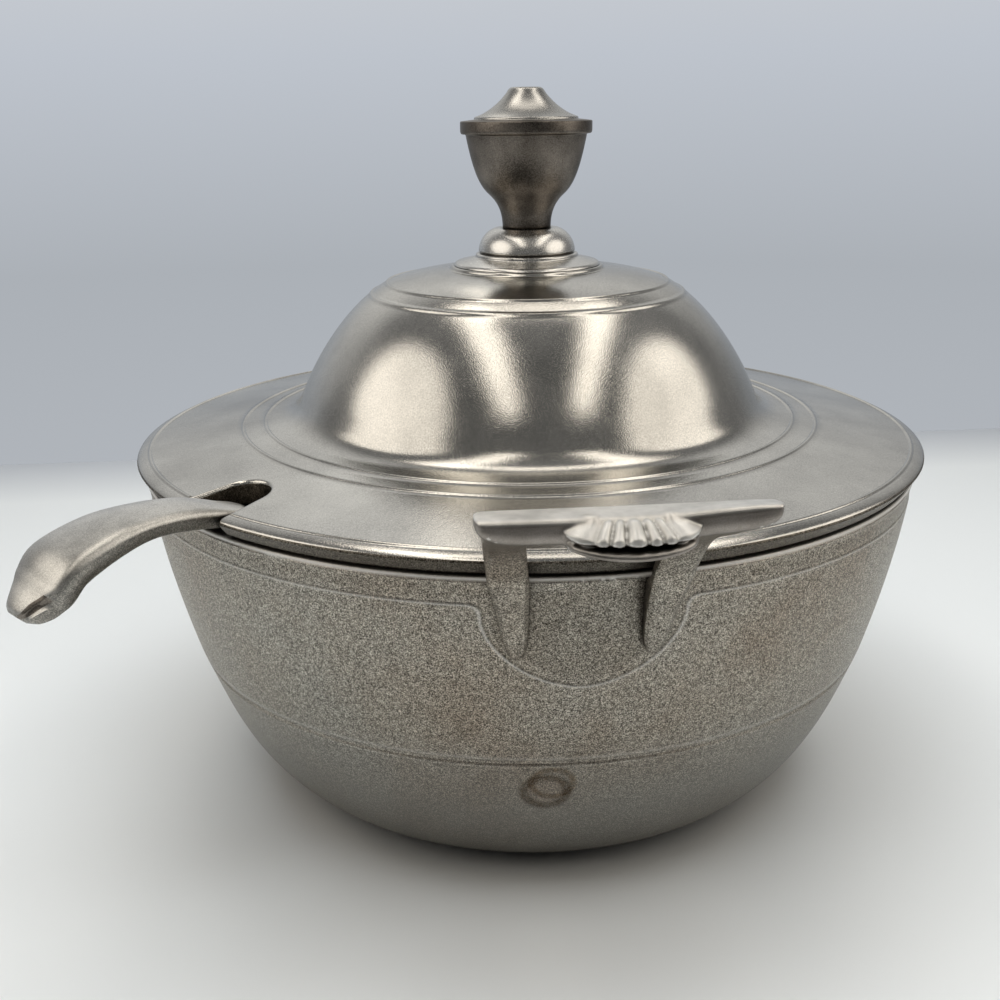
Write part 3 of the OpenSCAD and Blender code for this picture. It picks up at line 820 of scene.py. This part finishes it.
def build_handles():
    """The front handle as one cast form, and its copy at the back."""
    front = merge("handle_front", [build_leg(1), build_leg(-1), build_bar()] + build_shell())
    remesh = front.modifiers.new("cast", "REMESH")
    remesh.mode = "VOXEL"
    remesh.voxel_size = HANDLE_VOXEL * MM
    soften = front.modifiers.new("soften", "SMOOTH")
    soften.factor = 0.5
    soften.iterations = 2
    apply_modifiers(front)
    sharpen(front, 180)
    rear_mesh = front.data.copy()
    rear_mesh.transform(Matrix.Rotation(math.pi, 4, "Z"))
    return front, add_object("handle_rear", rear_mesh)


# Ladle

# Half sections of the ladle's handle, as shares of the half width, and of the crown above or the edge below
PLAIN_SIDE = [(0.84, 0.62), (0.93, 0.42), (0.98, 0.18), (1, -0.1), (0.96, -0.5), (0.9, -0.85), (0.82, -1)]
HOLLOW_SIDE = [(0.66, 0.72), (0.76, 0.42), (0.74, 0.12), (0.84, -0.08), (1, -0.14), (0.97, -0.75), (0.88, -1)]


def ladle_section(half_width, hollow, edge, crown):
    """Cross-section of the ladle's handle: crowned top, side face and flat underside."""
    right = []
    for plain, cut in zip(PLAIN_SIDE, HOLLOW_SIDE):
        share, level = Vector(plain).lerp(Vector(cut), hollow)
        right.append((half_width * share, level * (crown if level > 0 else edge)))
    top, top_level = right[0]
    crowned = []
    for k in range(-6, 7):
        share = k / 7
        crowned.append((top * share, crown - (crown - top_level) * share * share))
    flat = [(right[-1][0] * share, -edge) for share in (0.5, 0, -0.5)]
    return [(-x, z) for x, z in reversed(right)] + crowned + right + flat


def mark_groove(grip, line, count):
    """Gives the second, dark material to the groove's strips on both sides of the tip, as painted shade."""
    left = len(HOLLOW_SIDE) - 4
    right = count - len(HOLLOW_SIDE) - 3
    strips = [side + k for side in (left, right) for k in range(3)]
    end_faces = 2
    for polygon in grip.data.polygons[end_faces:]:
        row, strip = divmod(polygon.index - end_faces, count)
        if line[row][3] > 0.4 and strip in strips:
            use_second([polygon])


def build_grip(grip_metal, groove_shade_metal):
    """The ladle's shaft, the hook over the rim and the curved grip, from inside to outside."""
    shaft_foot = (CUP_OFFSET + CUP_RADIUS - 1.9, CUP_RIM - 6)
    shaft_head = (SLOT_END + 2.3, LID_PLANE - 6.5)

    def shaft(share, swell):
        return (shaft_foot[0] + (shaft_head[0] - shaft_foot[0]) * share + swell,
                shaft_foot[1] + (shaft_head[1] - shaft_foot[1]) * share)

    # Each station is (outwards, height, half width, share of the groove, edge below, crown above)
    edge, hook, long = 3.7, HOOK_HEIGHT, GRIP_LENGTH
    stations = [
        (*shaft_foot, 7, 0, edge - 1.4, 0.4),
        (*shaft(0.16, 1.2), 7, 0, edge - 0.4, 0.8),
        (*shaft(0.5, 1.5), 5.6, 0, edge, 1),
        (*shaft_head, 5.4, 0, edge, 1),
        (SLOT_END + 5.6, LID_PLANE - 0.8, 5.6, 0, edge, 1),
        (SLOT_END + 8.8, hook - 0.6, 6, 0, edge, 1.2),
        (RIM_INNER, hook + 0.6, 7.2, 0, edge, 1.7),
        (RIM_RADIUS + 5.4, hook + 3, 8.5, 0, edge, 3),
        (RIM_INNER + long * 0.44, hook + 4.1, 9.7, 0, edge - 0.2, 3),
        (RIM_INNER + long * 0.65, hook + 3.2, 11.3, 0, edge + 0.8, 3),
        (RIM_INNER + long * 0.87, hook - 0.6, 12.3, 0.05, edge + 1.7, 3),
        (TIP_OUT - 7.4, hook - 5.2, 11.8, 0.1, edge + 1.9, 2.7),
        (TIP_OUT - 5, hook - 7.4, 10.3, 0.55, edge + 1.7, 2.2),
        (TIP_OUT - 3, hook - 9.3, 8.5, 1, edge + 1.3, 2.2),
        (TIP_OUT - 1, hook - 11.2, 6, 0.9, edge + 0.2, 1.7),
        (TIP_OUT, hook - 12.2, 3.2, 0.5, edge - 1.2, 0.8),
    ]
    line = through(stations, 7)
    rings = []
    for i, (out, height, half_width, hollow, thick, crown) in enumerate(line):
        ahead, behind = line[min(i + 1, len(line) - 1)], line[max(i - 1, 0)]
        slope = math.atan2(ahead[1] - behind[1], ahead[0] - behind[0])
        rings.append([
            (x, -out + z * math.sin(slope), height + z * math.cos(slope))
            for x, z in ladle_section(half_width, min(max(hollow, 0), 1), thick, crown)
        ])
    grip = loft("ladle_body", rings)
    dress(grip, grip_metal, groove_shade_metal)
    mark_groove(grip, line, len(rings[0]))
    return grip


def build_cup(metal):
    """The ladle's round cup with its lip."""
    foot, inner = CUP_RADIUS * 0.4, CUP_RADIUS - CUP_WALL
    outside = bezier([
        (foot, CUP_BASE),
        (CUP_RADIUS * 0.86, CUP_BASE + CUP_HEIGHT * 0.04),
        (CUP_RADIUS - 0.5, CUP_BASE + CUP_HEIGHT * 0.5),
        (CUP_RADIUS, CUP_RIM - 0.8),
    ], 24)
    lip = rounded([
        (CUP_RADIUS, CUP_RIM - 0.8, 0),
        (CUP_RADIUS, CUP_RIM, 0.7),
        (inner, CUP_RIM, 0.7),
        (inner, CUP_RIM - 0.8, 0),
    ])
    inside = bezier([
        (inner, CUP_RIM - 0.8),
        (CUP_RADIUS - 0.5 - CUP_WALL, CUP_BASE + CUP_HEIGHT * 0.53),
        (CUP_RADIUS * 0.86 - CUP_WALL, CUP_BASE + CUP_WALL + CUP_HEIGHT * 0.06),
        (foot, CUP_BASE + CUP_WALL),
    ], 24)
    under, floor = Vector((0, CUP_BASE)), Vector((0, CUP_BASE + CUP_WALL))
    cup = lathe("cup", [under] + outside + lip[1:] + inside[1:] + [floor], even_angles(128))
    dress(cup, metal)
    cup.data.transform(Matrix.Translation((0, -CUP_OFFSET * MM, 0)))
    return cup


def build_ladle(grip_metal, groove_shade_metal):
    ladle = build_grip(grip_metal, groove_shade_metal)
    combine(ladle, build_cup(grip_metal), "UNION")
    sharpen(ladle, 40)
    ladle.data.transform(Matrix.Rotation(SLOT_AZIMUTH, 4, "Z"))
    return ladle


# Materials

def fill_inputs(item, values):
    """Sets a node's inputs to values, or links them to the outputs of other nodes."""
    for key, value in values.items():
        if isinstance(value, bpy.types.NodeSocket):
            item.id_data.links.new(value, item.inputs[key])
        else:
            item.inputs[key].default_value = value


def node_maker(tree):
    """Function that adds a node to the tree, with its settings, and its inputs set or linked."""
    def make(kind, values=None, **settings):
        item = tree.nodes.new(kind)
        for key, value in settings.items():
            setattr(item, key, value)
        fill_inputs(item, values or {})
        return item

    return make


def new_material(name):
    """Empty node material: (material, node maker, shader)."""
    material = bpy.data.materials.new(name)
    material.use_nodes = True
    tree = material.node_tree
    return material, node_maker(tree), tree.nodes["Principled BSDF"]


def ramp(make, source, stops):
    """Colour ramp over a value, from stops of (position, colour)."""
    item = make("ShaderNodeValToRGB", {"Fac": source})
    elements = item.color_ramp.elements
    while len(elements) < len(stops):
        elements.new(0.5)
    for element, (position, colour) in zip(elements, stops):
        element.position = position
        element.color = (*colour, 1)
    return item.outputs["Color"]


def spread(make, source, low, high, start=0.0, end=1.0):
    """The value from low to high, stretched to the range from start to end."""
    item = make("ShaderNodeMapRange", {"Value": source, "From Min": low, "From Max": high,
                                       "To Min": start, "To Max": end})
    return item.outputs["Result"]


def math_node(make, operation, a, b):
    return make("ShaderNodeMath", {0: a, 1: b}, operation=operation).outputs[0]


def times(make, a, b):
    return math_node(make, "MULTIPLY", a, b)


def parts(make, vector):
    """The X, Y and Z of a vector."""
    return make("ShaderNodeSeparateXYZ", {"Vector": vector}).outputs


def tint(make, kind, share, a, b):
    """Colour a mixed with colour b by a share."""
    item = make("ShaderNodeMix", {"Factor": share, "A": a, "B": b}, data_type="RGBA", blend_type=kind)
    return item.outputs["Result"]


def blend(make, a, b, share):
    """Value a mixed with value b by a share."""
    return make("ShaderNodeMix", {"Factor": share, "A": a, "B": b}).outputs["Result"]


def near_point(make, place, point):
    """Distance from a point given in millimetres, in metres."""
    item = make("ShaderNodeVectorMath", {0: place, 1: tuple(v * MM for v in point)}, operation="DISTANCE")
    return item.outputs["Value"]


def grain(make, place, scale, detail=3.0, rough=0.6):
    item = make("ShaderNodeTexNoise", {"Vector": place, "Scale": scale, "Detail": detail, "Roughness": rough})
    return item.outputs["Fac"]


def speckle(make, place):
    """Colour of rough cast metal with its fine and coarse grain."""
    fine = grain(make, place, 2900, 2, 0.75)
    coarse = grain(make, place, 1000, 3, 0.65)
    patch = grain(make, place, 17, 5, 0.62)
    both = blend(make, fine, coarse, 0.25)
    colour = ramp(make, both, [
        (0.38, (0.045, 0.041, 0.036)),
        (0.5, (0.27, 0.255, 0.23)),
        (0.62, (0.78, 0.75, 0.69)),
    ])
    patina = ramp(make, patch, [
        (0.3, (0.76, 0.66, 0.57)),
        (0.5, (0.92, 0.88, 0.82)),
        (0.7, (0.94, 0.94, 0.91)),
    ])
    return tint(make, "MULTIPLY", 1.0, colour, patina), fine, coarse


def shade_corners(make, colour, distance, dark):
    """The colour, darkened in corners that are tighter than the distance in metres."""
    hollow = make("ShaderNodeAmbientOcclusion", {"Distance": distance}, samples=8).outputs["AO"]
    return tint(make, "MULTIPLY", 1.0, colour, ramp(make, hollow, [(0.25, dark), (0.8, (1, 1, 1))]))


def relief(make, height, strength, distance=0.0001):
    """Directions that a surface faces where it has a fine relief."""
    bump = make("ShaderNodeBump", {"Height": height, "Strength": strength, "Distance": distance})
    return bump.outputs["Normal"]


def fill_shader(shader, colour, rough, metallic, normal):
    fill_inputs(shader, {"Base Color": colour, "Roughness": rough, "Metallic": metallic, "Normal": normal})


def stain(make, place, point, radius, width):
    """1 on a ring of the radius round a point, falling to 0 over the width, all in millimetres."""
    off = math_node(make, "SUBTRACT", near_point(make, place, point), radius * MM)
    return spread(make, math_node(make, "ABSOLUTE", off, 0), width * MM * 0.3, width * MM, 1, 0)


def cast_metal():
    """Sand-cast wall of the bowl: speckled grain, brownish patina, rubbed edges with a painted highlight,
    painted shade in corners, and a ring stain.
    """
    material, make, shader = new_material("cast_metal")
    coords = make("ShaderNodeTexCoord").outputs
    place = coords["Object"]
    colour, fine, coarse = speckle(make, place)
    height = parts(make, place)["Z"]
    worn = spread(make, height, (LEDGE_HEIGHT - 22) * MM, (LEDGE_HEIGHT + 8) * MM, 0.6, 0)
    colour = tint(make, "MIX", worn, colour, (0.275, 0.275, 0.26, 1))
    facing = parts(make, coords["Normal"])["Y"]
    outer = spread(make, facing, 0, -0.3)
    patchy = times(make, spread(make, coarse, 0.3, 0.6, 0.4, 1), outer)
    ring_point = (-8, -106.6, 40.6)
    for point, radius, width, dark in ((ring_point, 6.2, 1.9, 0.4), ((-6.4, -108.2, 43.8), 5.8, 1.4, 0.6)):
        ring = times(make, stain(make, place, point, radius, width), patchy)
        colour = tint(make, "MULTIPLY", ring, colour, (dark, dark * 0.88, dark * 0.76, 1))
    inside = spread(make, near_point(make, place, ring_point), 0.0045, 0.007, 0.5, 0)
    colour = tint(make, "MULTIPLY", times(make, inside, outer), colour, (1, 0.9, 0.84, 1))
    smudge = spread(make, near_point(make, place, (-1, -113, 53)), 0.0008, 0.003, 0.6, 0)
    colour = tint(make, "MULTIPLY", smudge, colour, (0.5, 0.48, 0.44, 1))
    colour = shade_corners(make, colour, 0.009, (0.14, 0.125, 0.11))
    # Painted shade on the rim under the lid, in the pad's corners and between the legs.
    painted_shade = make("ShaderNodeAttribute", attribute_name="painted_shade").outputs["Fac"]
    colour = tint(make, "MULTIPLY", painted_shade, colour, (0.3, 0.27, 0.23, 1))
    # Rubbed edges: worn bright, with a painted highlight in a near-white colour.
    rubbed_and_highlight = make("ShaderNodeAttribute", attribute_name="rubbed_and_highlight").outputs["Fac"]
    colour = tint(make, "MIX", rubbed_and_highlight, colour, (0.95, 0.93, 0.89, 1))
    rough = blend(make, spread(make, coarse, 0.3, 0.7, 0.36, 0.52), 0.38, rubbed_and_highlight)
    metallic = spread(make, rubbed_and_highlight, 0, 1, 1, 0.3)
    grit = math_node(make, "ADD", fine, times(make, coarse, 1.5))
    fill_shader(shader, colour, rough, metallic, relief(make, grit, 0.6))
    return material


def edge_metal():
    """Dark unpolished side of the lid, and walls of its slot, darkened further as painted shade."""
    material, make, shader = new_material("edge_metal")
    place = make("ShaderNodeTexCoord").outputs["Object"]
    colour, fine, coarse = speckle(make, place)
    # Darker: unpolished metal on the lid's side, with painted shade on the slot's walls.
    colour = tint(make, "MULTIPLY", 1.0, colour, (0.48, 0.475, 0.465, 1))
    colour = shade_corners(make, colour, 0.015, (0.1, 0.09, 0.08))
    rough = spread(make, coarse, 0.3, 0.7, 0.38, 0.52)
    fill_shader(shader, colour, rough, 1, relief(make, fine, 0.5))
    return material


def handle_look():
    """Cast legs that turn into a satin bar, with a top worn bright and given a painted highlight, and painted
    shade on the legs' sides, in grooves and in hollows.
    """
    material, make, shader = new_material("handle_metal")
    coords = make("ShaderNodeTexCoord").outputs
    place = coords["Object"]
    colour, fine = speckle(make, place)[:2]
    split = parts(make, place)
    height = split["Z"]
    normal = parts(make, coords["Normal"])
    # Painted shade on faces turned sideways, such as the legs' sides, together with darker unpolished metal
    # there.
    sideways = spread(make, math_node(make, "ABSOLUTE", normal["X"], 0), 0.6, 0.9, 0, 0.8)
    colour = tint(make, "MULTIPLY", sideways, colour, (0.4, 0.37, 0.34, 1))
    leg_top = (BOWL_HEIGHT + BAR_RISE * 0.45) * MM
    high = spread(make, height, leg_top - 0.008, leg_top + 0.008)
    cloud = grain(make, place, 120, 3, 0.6)
    satin = ramp(make, blend(make, cloud, fine, 0.4), [(0.3, (0.16, 0.142, 0.125)), (0.7, (0.36, 0.33, 0.3))])
    colour = tint(make, "MIX", high, colour, satin)
    out = math_node(make, "ABSOLUTE", split["Y"], 0)
    shell = spread(make, out, (BAR_FRONT + 0.2) * MM, (BAR_FRONT + 1) * MM)
    under = (BAR_TOP - 4.9) * MM
    shell = times(make, shell, spread(make, height, under, under + 0.0006))
    # Up-facing surfaces, and the shell more readily, are painted bright: real wear on top, with a painted
    # highlight.
    facing = math_node(make, "ADD", normal["Z"], times(make, shell, 0.5))
    above_lip = spread(make, height, under, under + 0.0006, 0.35, 1)
    worn = times(make, above_lip, spread(make, facing, 0.1, 0.5))
    worn = times(make, worn, high)
    bright = ramp(make, cloud, [(0.35, (0.64, 0.625, 0.59)), (0.65, (0.86, 0.84, 0.8))])
    colour = tint(make, "MIX", worn, colour, bright)
    edges = make("ShaderNodeNewGeometry").outputs["Pointiness"]
    # Convex edges lighter: real edge wear, with a painted highlight.
    ridge = times(make, high, spread(make, edges, 0.53, 0.6, 0, 0.6))
    colour = tint(make, "MIX", ridge, colour, (0.8, 0.78, 0.74, 1))
    # Painted shade in grooves and creases.
    groove = spread(make, edges, 0.48, 0.4, 0, 0.3)
    colour = tint(make, "MULTIPLY", groove, colour, (0.2, 0.17, 0.14, 1))
    colour = shade_corners(make, colour, 0.006, (0.12, 0.1, 0.085))
    rough = blend(make, spread(make, high, 0, 1, 0.42, 0.34), 0.42, worn)
    metallic = spread(make, shell, 0, 1, 1, 0.75)
    fill_shader(shader, colour, rough, metallic, relief(make, fine, 0.45))
    return material


def turned_metal(name, low, high, rough_low, rough_high, line_strength, mottle=26, shade=0.002):
    """Satin metal with fine turning marks round the axis and a light grain."""
    material, make, shader = new_material(name)
    place = make("ShaderNodeTexCoord").outputs["Object"]
    flat = make("ShaderNodeVectorMath", {0: place, 1: (1, 1, 0)}, operation="MULTIPLY").outputs["Vector"]
    radius = make("ShaderNodeVectorMath", {0: flat}, operation="LENGTH").outputs["Value"]
    height = parts(make, place)["Z"]
    along = math_node(make, "SUBTRACT", radius, height)
    lines = make("ShaderNodeTexNoise", {"W": along, "Scale": 1700, "Detail": 3}, noise_dimensions="1D")
    fine = grain(make, place, 2600, 1, 0.7)
    cloud = grain(make, place, mottle, 4, 0.55)
    wear = blend(make, cloud, fine, 0.4)
    colour = ramp(make, wear, [(0.36, low), (0.64, high)])
    colour = shade_corners(make, colour, shade, (0.2, 0.18, 0.16))
    rough = spread(make, wear, 0.3, 0.7, rough_low, rough_high)
    marks = math_node(make, "ADD", times(make, lines.outputs["Fac"], line_strength), fine)
    fill_shader(shader, colour, rough, 1, relief(make, marks, 0.7, 0.00004))
    shader.inputs["Specular Tint"].default_value = (0.72, 0.72, 0.71, 1)
    return material


def ladle_look():
    """Satin ladle, worn bright on top, with sides darker as unpolished metal and painted shade."""
    material, make, shader = new_material("ladle_metal")
    coords = make("ShaderNodeTexCoord").outputs
    place = coords["Object"]
    colour, fine = speckle(make, place)[:2]
    cloud = grain(make, place, 70, 4, 0.6)
    facing = parts(make, coords["Normal"])["Z"]
    satin = ramp(make, blend(make, cloud, fine, 0.55), [
        (0.36, (0.36, 0.35, 0.325)),
        (0.5, (0.58, 0.567, 0.535)),
        (0.64, (0.8, 0.785, 0.745)),
    ])
    # Sides darker: unpolished metal, with painted shade; up-facing surfaces get the bright satin.
    colour = tint(make, "MIX", 0.5, colour, (0.26, 0.256, 0.245, 1))
    colour = tint(make, "MIX", spread(make, facing, 0.05, 0.25), colour, satin)
    colour = shade_corners(make, colour, 0.004, (0.2, 0.18, 0.16))
    rough = spread(make, cloud, 0.3, 0.7, 0.32, 0.44)
    fill_shader(shader, colour, rough, 1, relief(make, fine, 0.4))
    return material


FLOOR_FAR = 385


def paper():
    """Pale floor sheet that turns bluish towards its far edge."""
    material, make, shader = new_material("studio_paper")
    place = make("ShaderNodeTexCoord").outputs["Object"]
    depth = parts(make, place)["Y"]
    colour = ramp(make, spread(make, depth, 0.3, FLOOR_FAR * MM), [
        (0.0, (0.785, 0.795, 0.795)),
        (1.0, (0.52, 0.535, 0.57)),
    ])
    fill_inputs(shader, {"Base Color": colour, "Roughness": 0.85})
    return material


# Pieces

def place_piece(piece, body, slot, material, *nodes):
    """Gives a piece its material unless it has one and its body, and hides the solids it stands for; the slot
    is not used.
    """
    if not piece.data.materials:
        dress(piece, material)
    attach(piece, body)
    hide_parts(*nodes)


bowl_metal = cast_metal()
lid_metal = turned_metal("satin_metal", (0.43, 0.42, 0.395), (0.74, 0.72, 0.675), 0.13, 0.22, 0.12)
lid_side_metal = edge_metal()
collar_metal = turned_metal("bright_metal", (0.58, 0.57, 0.545), (0.82, 0.805, 0.775), 0.2, 0.3, 0.25)
knob_metal = turned_metal("dark_metal", (0.06, 0.052, 0.044), (0.28, 0.25, 0.22), 0.3, 0.42, 0.25, 75, 0.02)
cap_metal = turned_metal("cap_metal", (0.38, 0.373, 0.355), (0.56, 0.55, 0.53), 0.22, 0.32, 0.25)
handle_metal = handle_look()
ladle_metal = ladle_look()
steel = turned_metal("steel", (0.50, 0.50, 0.50), (0.66, 0.66, 0.66), 0.25, 0.38, 0.3)

place_piece(build_bowl(), "tureen", "cast_metal", bowl_metal, "tureen_bowl")
front_handle, rear_handle = build_handles()
place_piece(front_handle, "tureen", "handle_metal", handle_metal, "front_handle")
place_piece(rear_handle, "tureen", "handle_metal", handle_metal, "rear_handle")
place_piece(build_lid(lid_metal, lid_side_metal), "lid", "satin_metal", lid_metal, "lid")
place_piece(build_collar(), "lid", "bright_metal", collar_metal, "knob_collar")
place_piece(build_knob(knob_metal, cap_metal), "lid", "dark_metal", knob_metal, "knob")
place_piece(build_screw(), "lid", "steel", steel, "knob_screw")
place_piece(build_washer(), "lid", "steel", steel, "screw_washer")
# The ladle's groove gets the knob's dark metal as painted shade.
place_piece(build_ladle(ladle_metal, knob_metal), "ladle", "ladle_metal", ladle_metal, "ladle")


# Studio

def build_floor():
    """Flat sheet under the tureen that ends behind it, where the pale room begins."""
    near, half = -460, 1500
    verts = [(x, y, 0) for y in (near, FLOOR_FAR) for x in (-half, half)]
    floor = make_object("floor", verts, [(0, 1, 3, 2)])
    dress(floor, paper())


def add_lamp(name, place, target, size, power, colour, mirrored=True, shape="RECTANGLE"):
    """Soft lamp at a place in metres, facing a target, mirrored in the metal or not."""
    lamp = bpy.data.lights.new(name, "AREA")
    lamp.shape = shape
    lamp.size, lamp.size_y = size
    lamp.energy = power
    lamp.color = colour
    holder = add_object(name, lamp)
    holder.location = place
    holder.rotation_euler = (Vector(target) - Vector(place)).to_track_quat("-Z", "Y").to_euler()
    holder.visible_glossy = mirrored


def build_camera():
    """Camera fitted to the rims, rings and outlines in the photograph."""
    place = (-0.0455, -0.3935, 0.2166)
    yaw, pitch, roll = math.radians(5.2), math.radians(-18.01), math.radians(-0.72)
    forward = Vector((math.sin(yaw) * math.cos(pitch), math.cos(yaw) * math.cos(pitch), math.sin(pitch)))
    level = Vector((math.cos(yaw), -math.sin(yaw), 0))
    raised = level.cross(forward)
    right = level * math.cos(roll) + raised * math.sin(roll)
    up = raised * math.cos(roll) - level * math.sin(roll)
    camera = bpy.data.cameras.new("camera")
    camera.sensor_width = 36
    camera.lens = 43.54
    camera.clip_start = 0.01
    holder = add_object("camera", camera)
    turn = Matrix((right, up, -forward)).transposed().to_4x4()
    holder.matrix_world = Matrix.Translation(place) @ turn
    bpy.context.scene.camera = holder


def build_world():
    """Room that is pale behind the tureen and dark in front, and pale all round for the camera."""
    world = bpy.data.worlds.new("room")
    world.use_nodes = True
    tree = world.node_tree
    make = node_maker(tree)
    place = make("ShaderNodeTexCoord").outputs["Generated"]
    split = parts(make, place)
    room = ramp(make, spread(make, split["Y"], -0.5, 0), [
        (0.0, (0.13, 0.13, 0.127)),
        (1.0, (0.2, 0.2, 0.2)),
    ])
    wall = ramp(make, spread(make, split["Z"], -0.3, 0.5), [
        (0.0, (0.44, 0.465, 0.5)),
        (0.225, (0.41, 0.437, 0.472)),
        (0.425, (0.515, 0.55, 0.605)),
        (0.7, (0.7, 0.705, 0.71)),
        (1.0, (1, 1, 0.985)),
    ])
    behind = spread(make, split["Y"], 0.5, 0.92)
    rays = make("ShaderNodeLightPath").outputs
    seen = math_node(make, "MAXIMUM", rays["Is Camera Ray"], behind)
    colour = tint(make, "MIX", seen, room, wall)
    strength = spread(make, rays["Is Diffuse Ray"], 0, 1, 1, 0.4)
    fill_inputs(tree.nodes["Background"], {"Color": colour, "Strength": strength})
    bpy.context.scene.world = world


WARM = (1, 0.93, 0.83)
COOL = (0.9, 0.96, 1)
build_floor()
build_camera()
build_world()
add_lamp("left_panel", (-0.5, -0.15, 0.47), (0, -0.15, 0.47), (0.62, 0.56), 1.1, WARM, shape="ELLIPSE")
add_lamp("right_panel", (0.5, -0.23, 0.44), (0, -0.23, 0.44), (0.66, 0.5), 1.05, WARM, shape="ELLIPSE")
for offset in (-0.205, 0.3):
    add_lamp("top_strip", (offset, -0.23, 0.75), (offset, -0.23, 0), (0.14, 0.98), 0.88, WARM)
add_lamp("overhead", (0.04, 0.16, 0.95), (0.04, 0.16, 0), (0.6, 0.24), 0.62, WARM)
add_lamp("back_spot", (-0.024, 0.34, 0.45), (-0.02, -0.1, 0.115), (0.04, 0.12), 0.018, WARM)
add_lamp("back_fill", (0, 0.2, 0.95), (0, -0.02, 0), (1.2, 0.4), 4.7, COOL, mirrored=False)
add_lamp("front_fill", (0, -0.35, 1.0), (0, -0.2, 0), (0.9, 0.3), 2.6, COOL, mirrored=False)
add_lamp("middle_fill", (0, -0.1, 0.9), (0, 0.36, 0.4), (1.2, 0.2), 1.4, COOL, mirrored=False)
bpy.context.scene.view_settings.view_transform = "Standard"
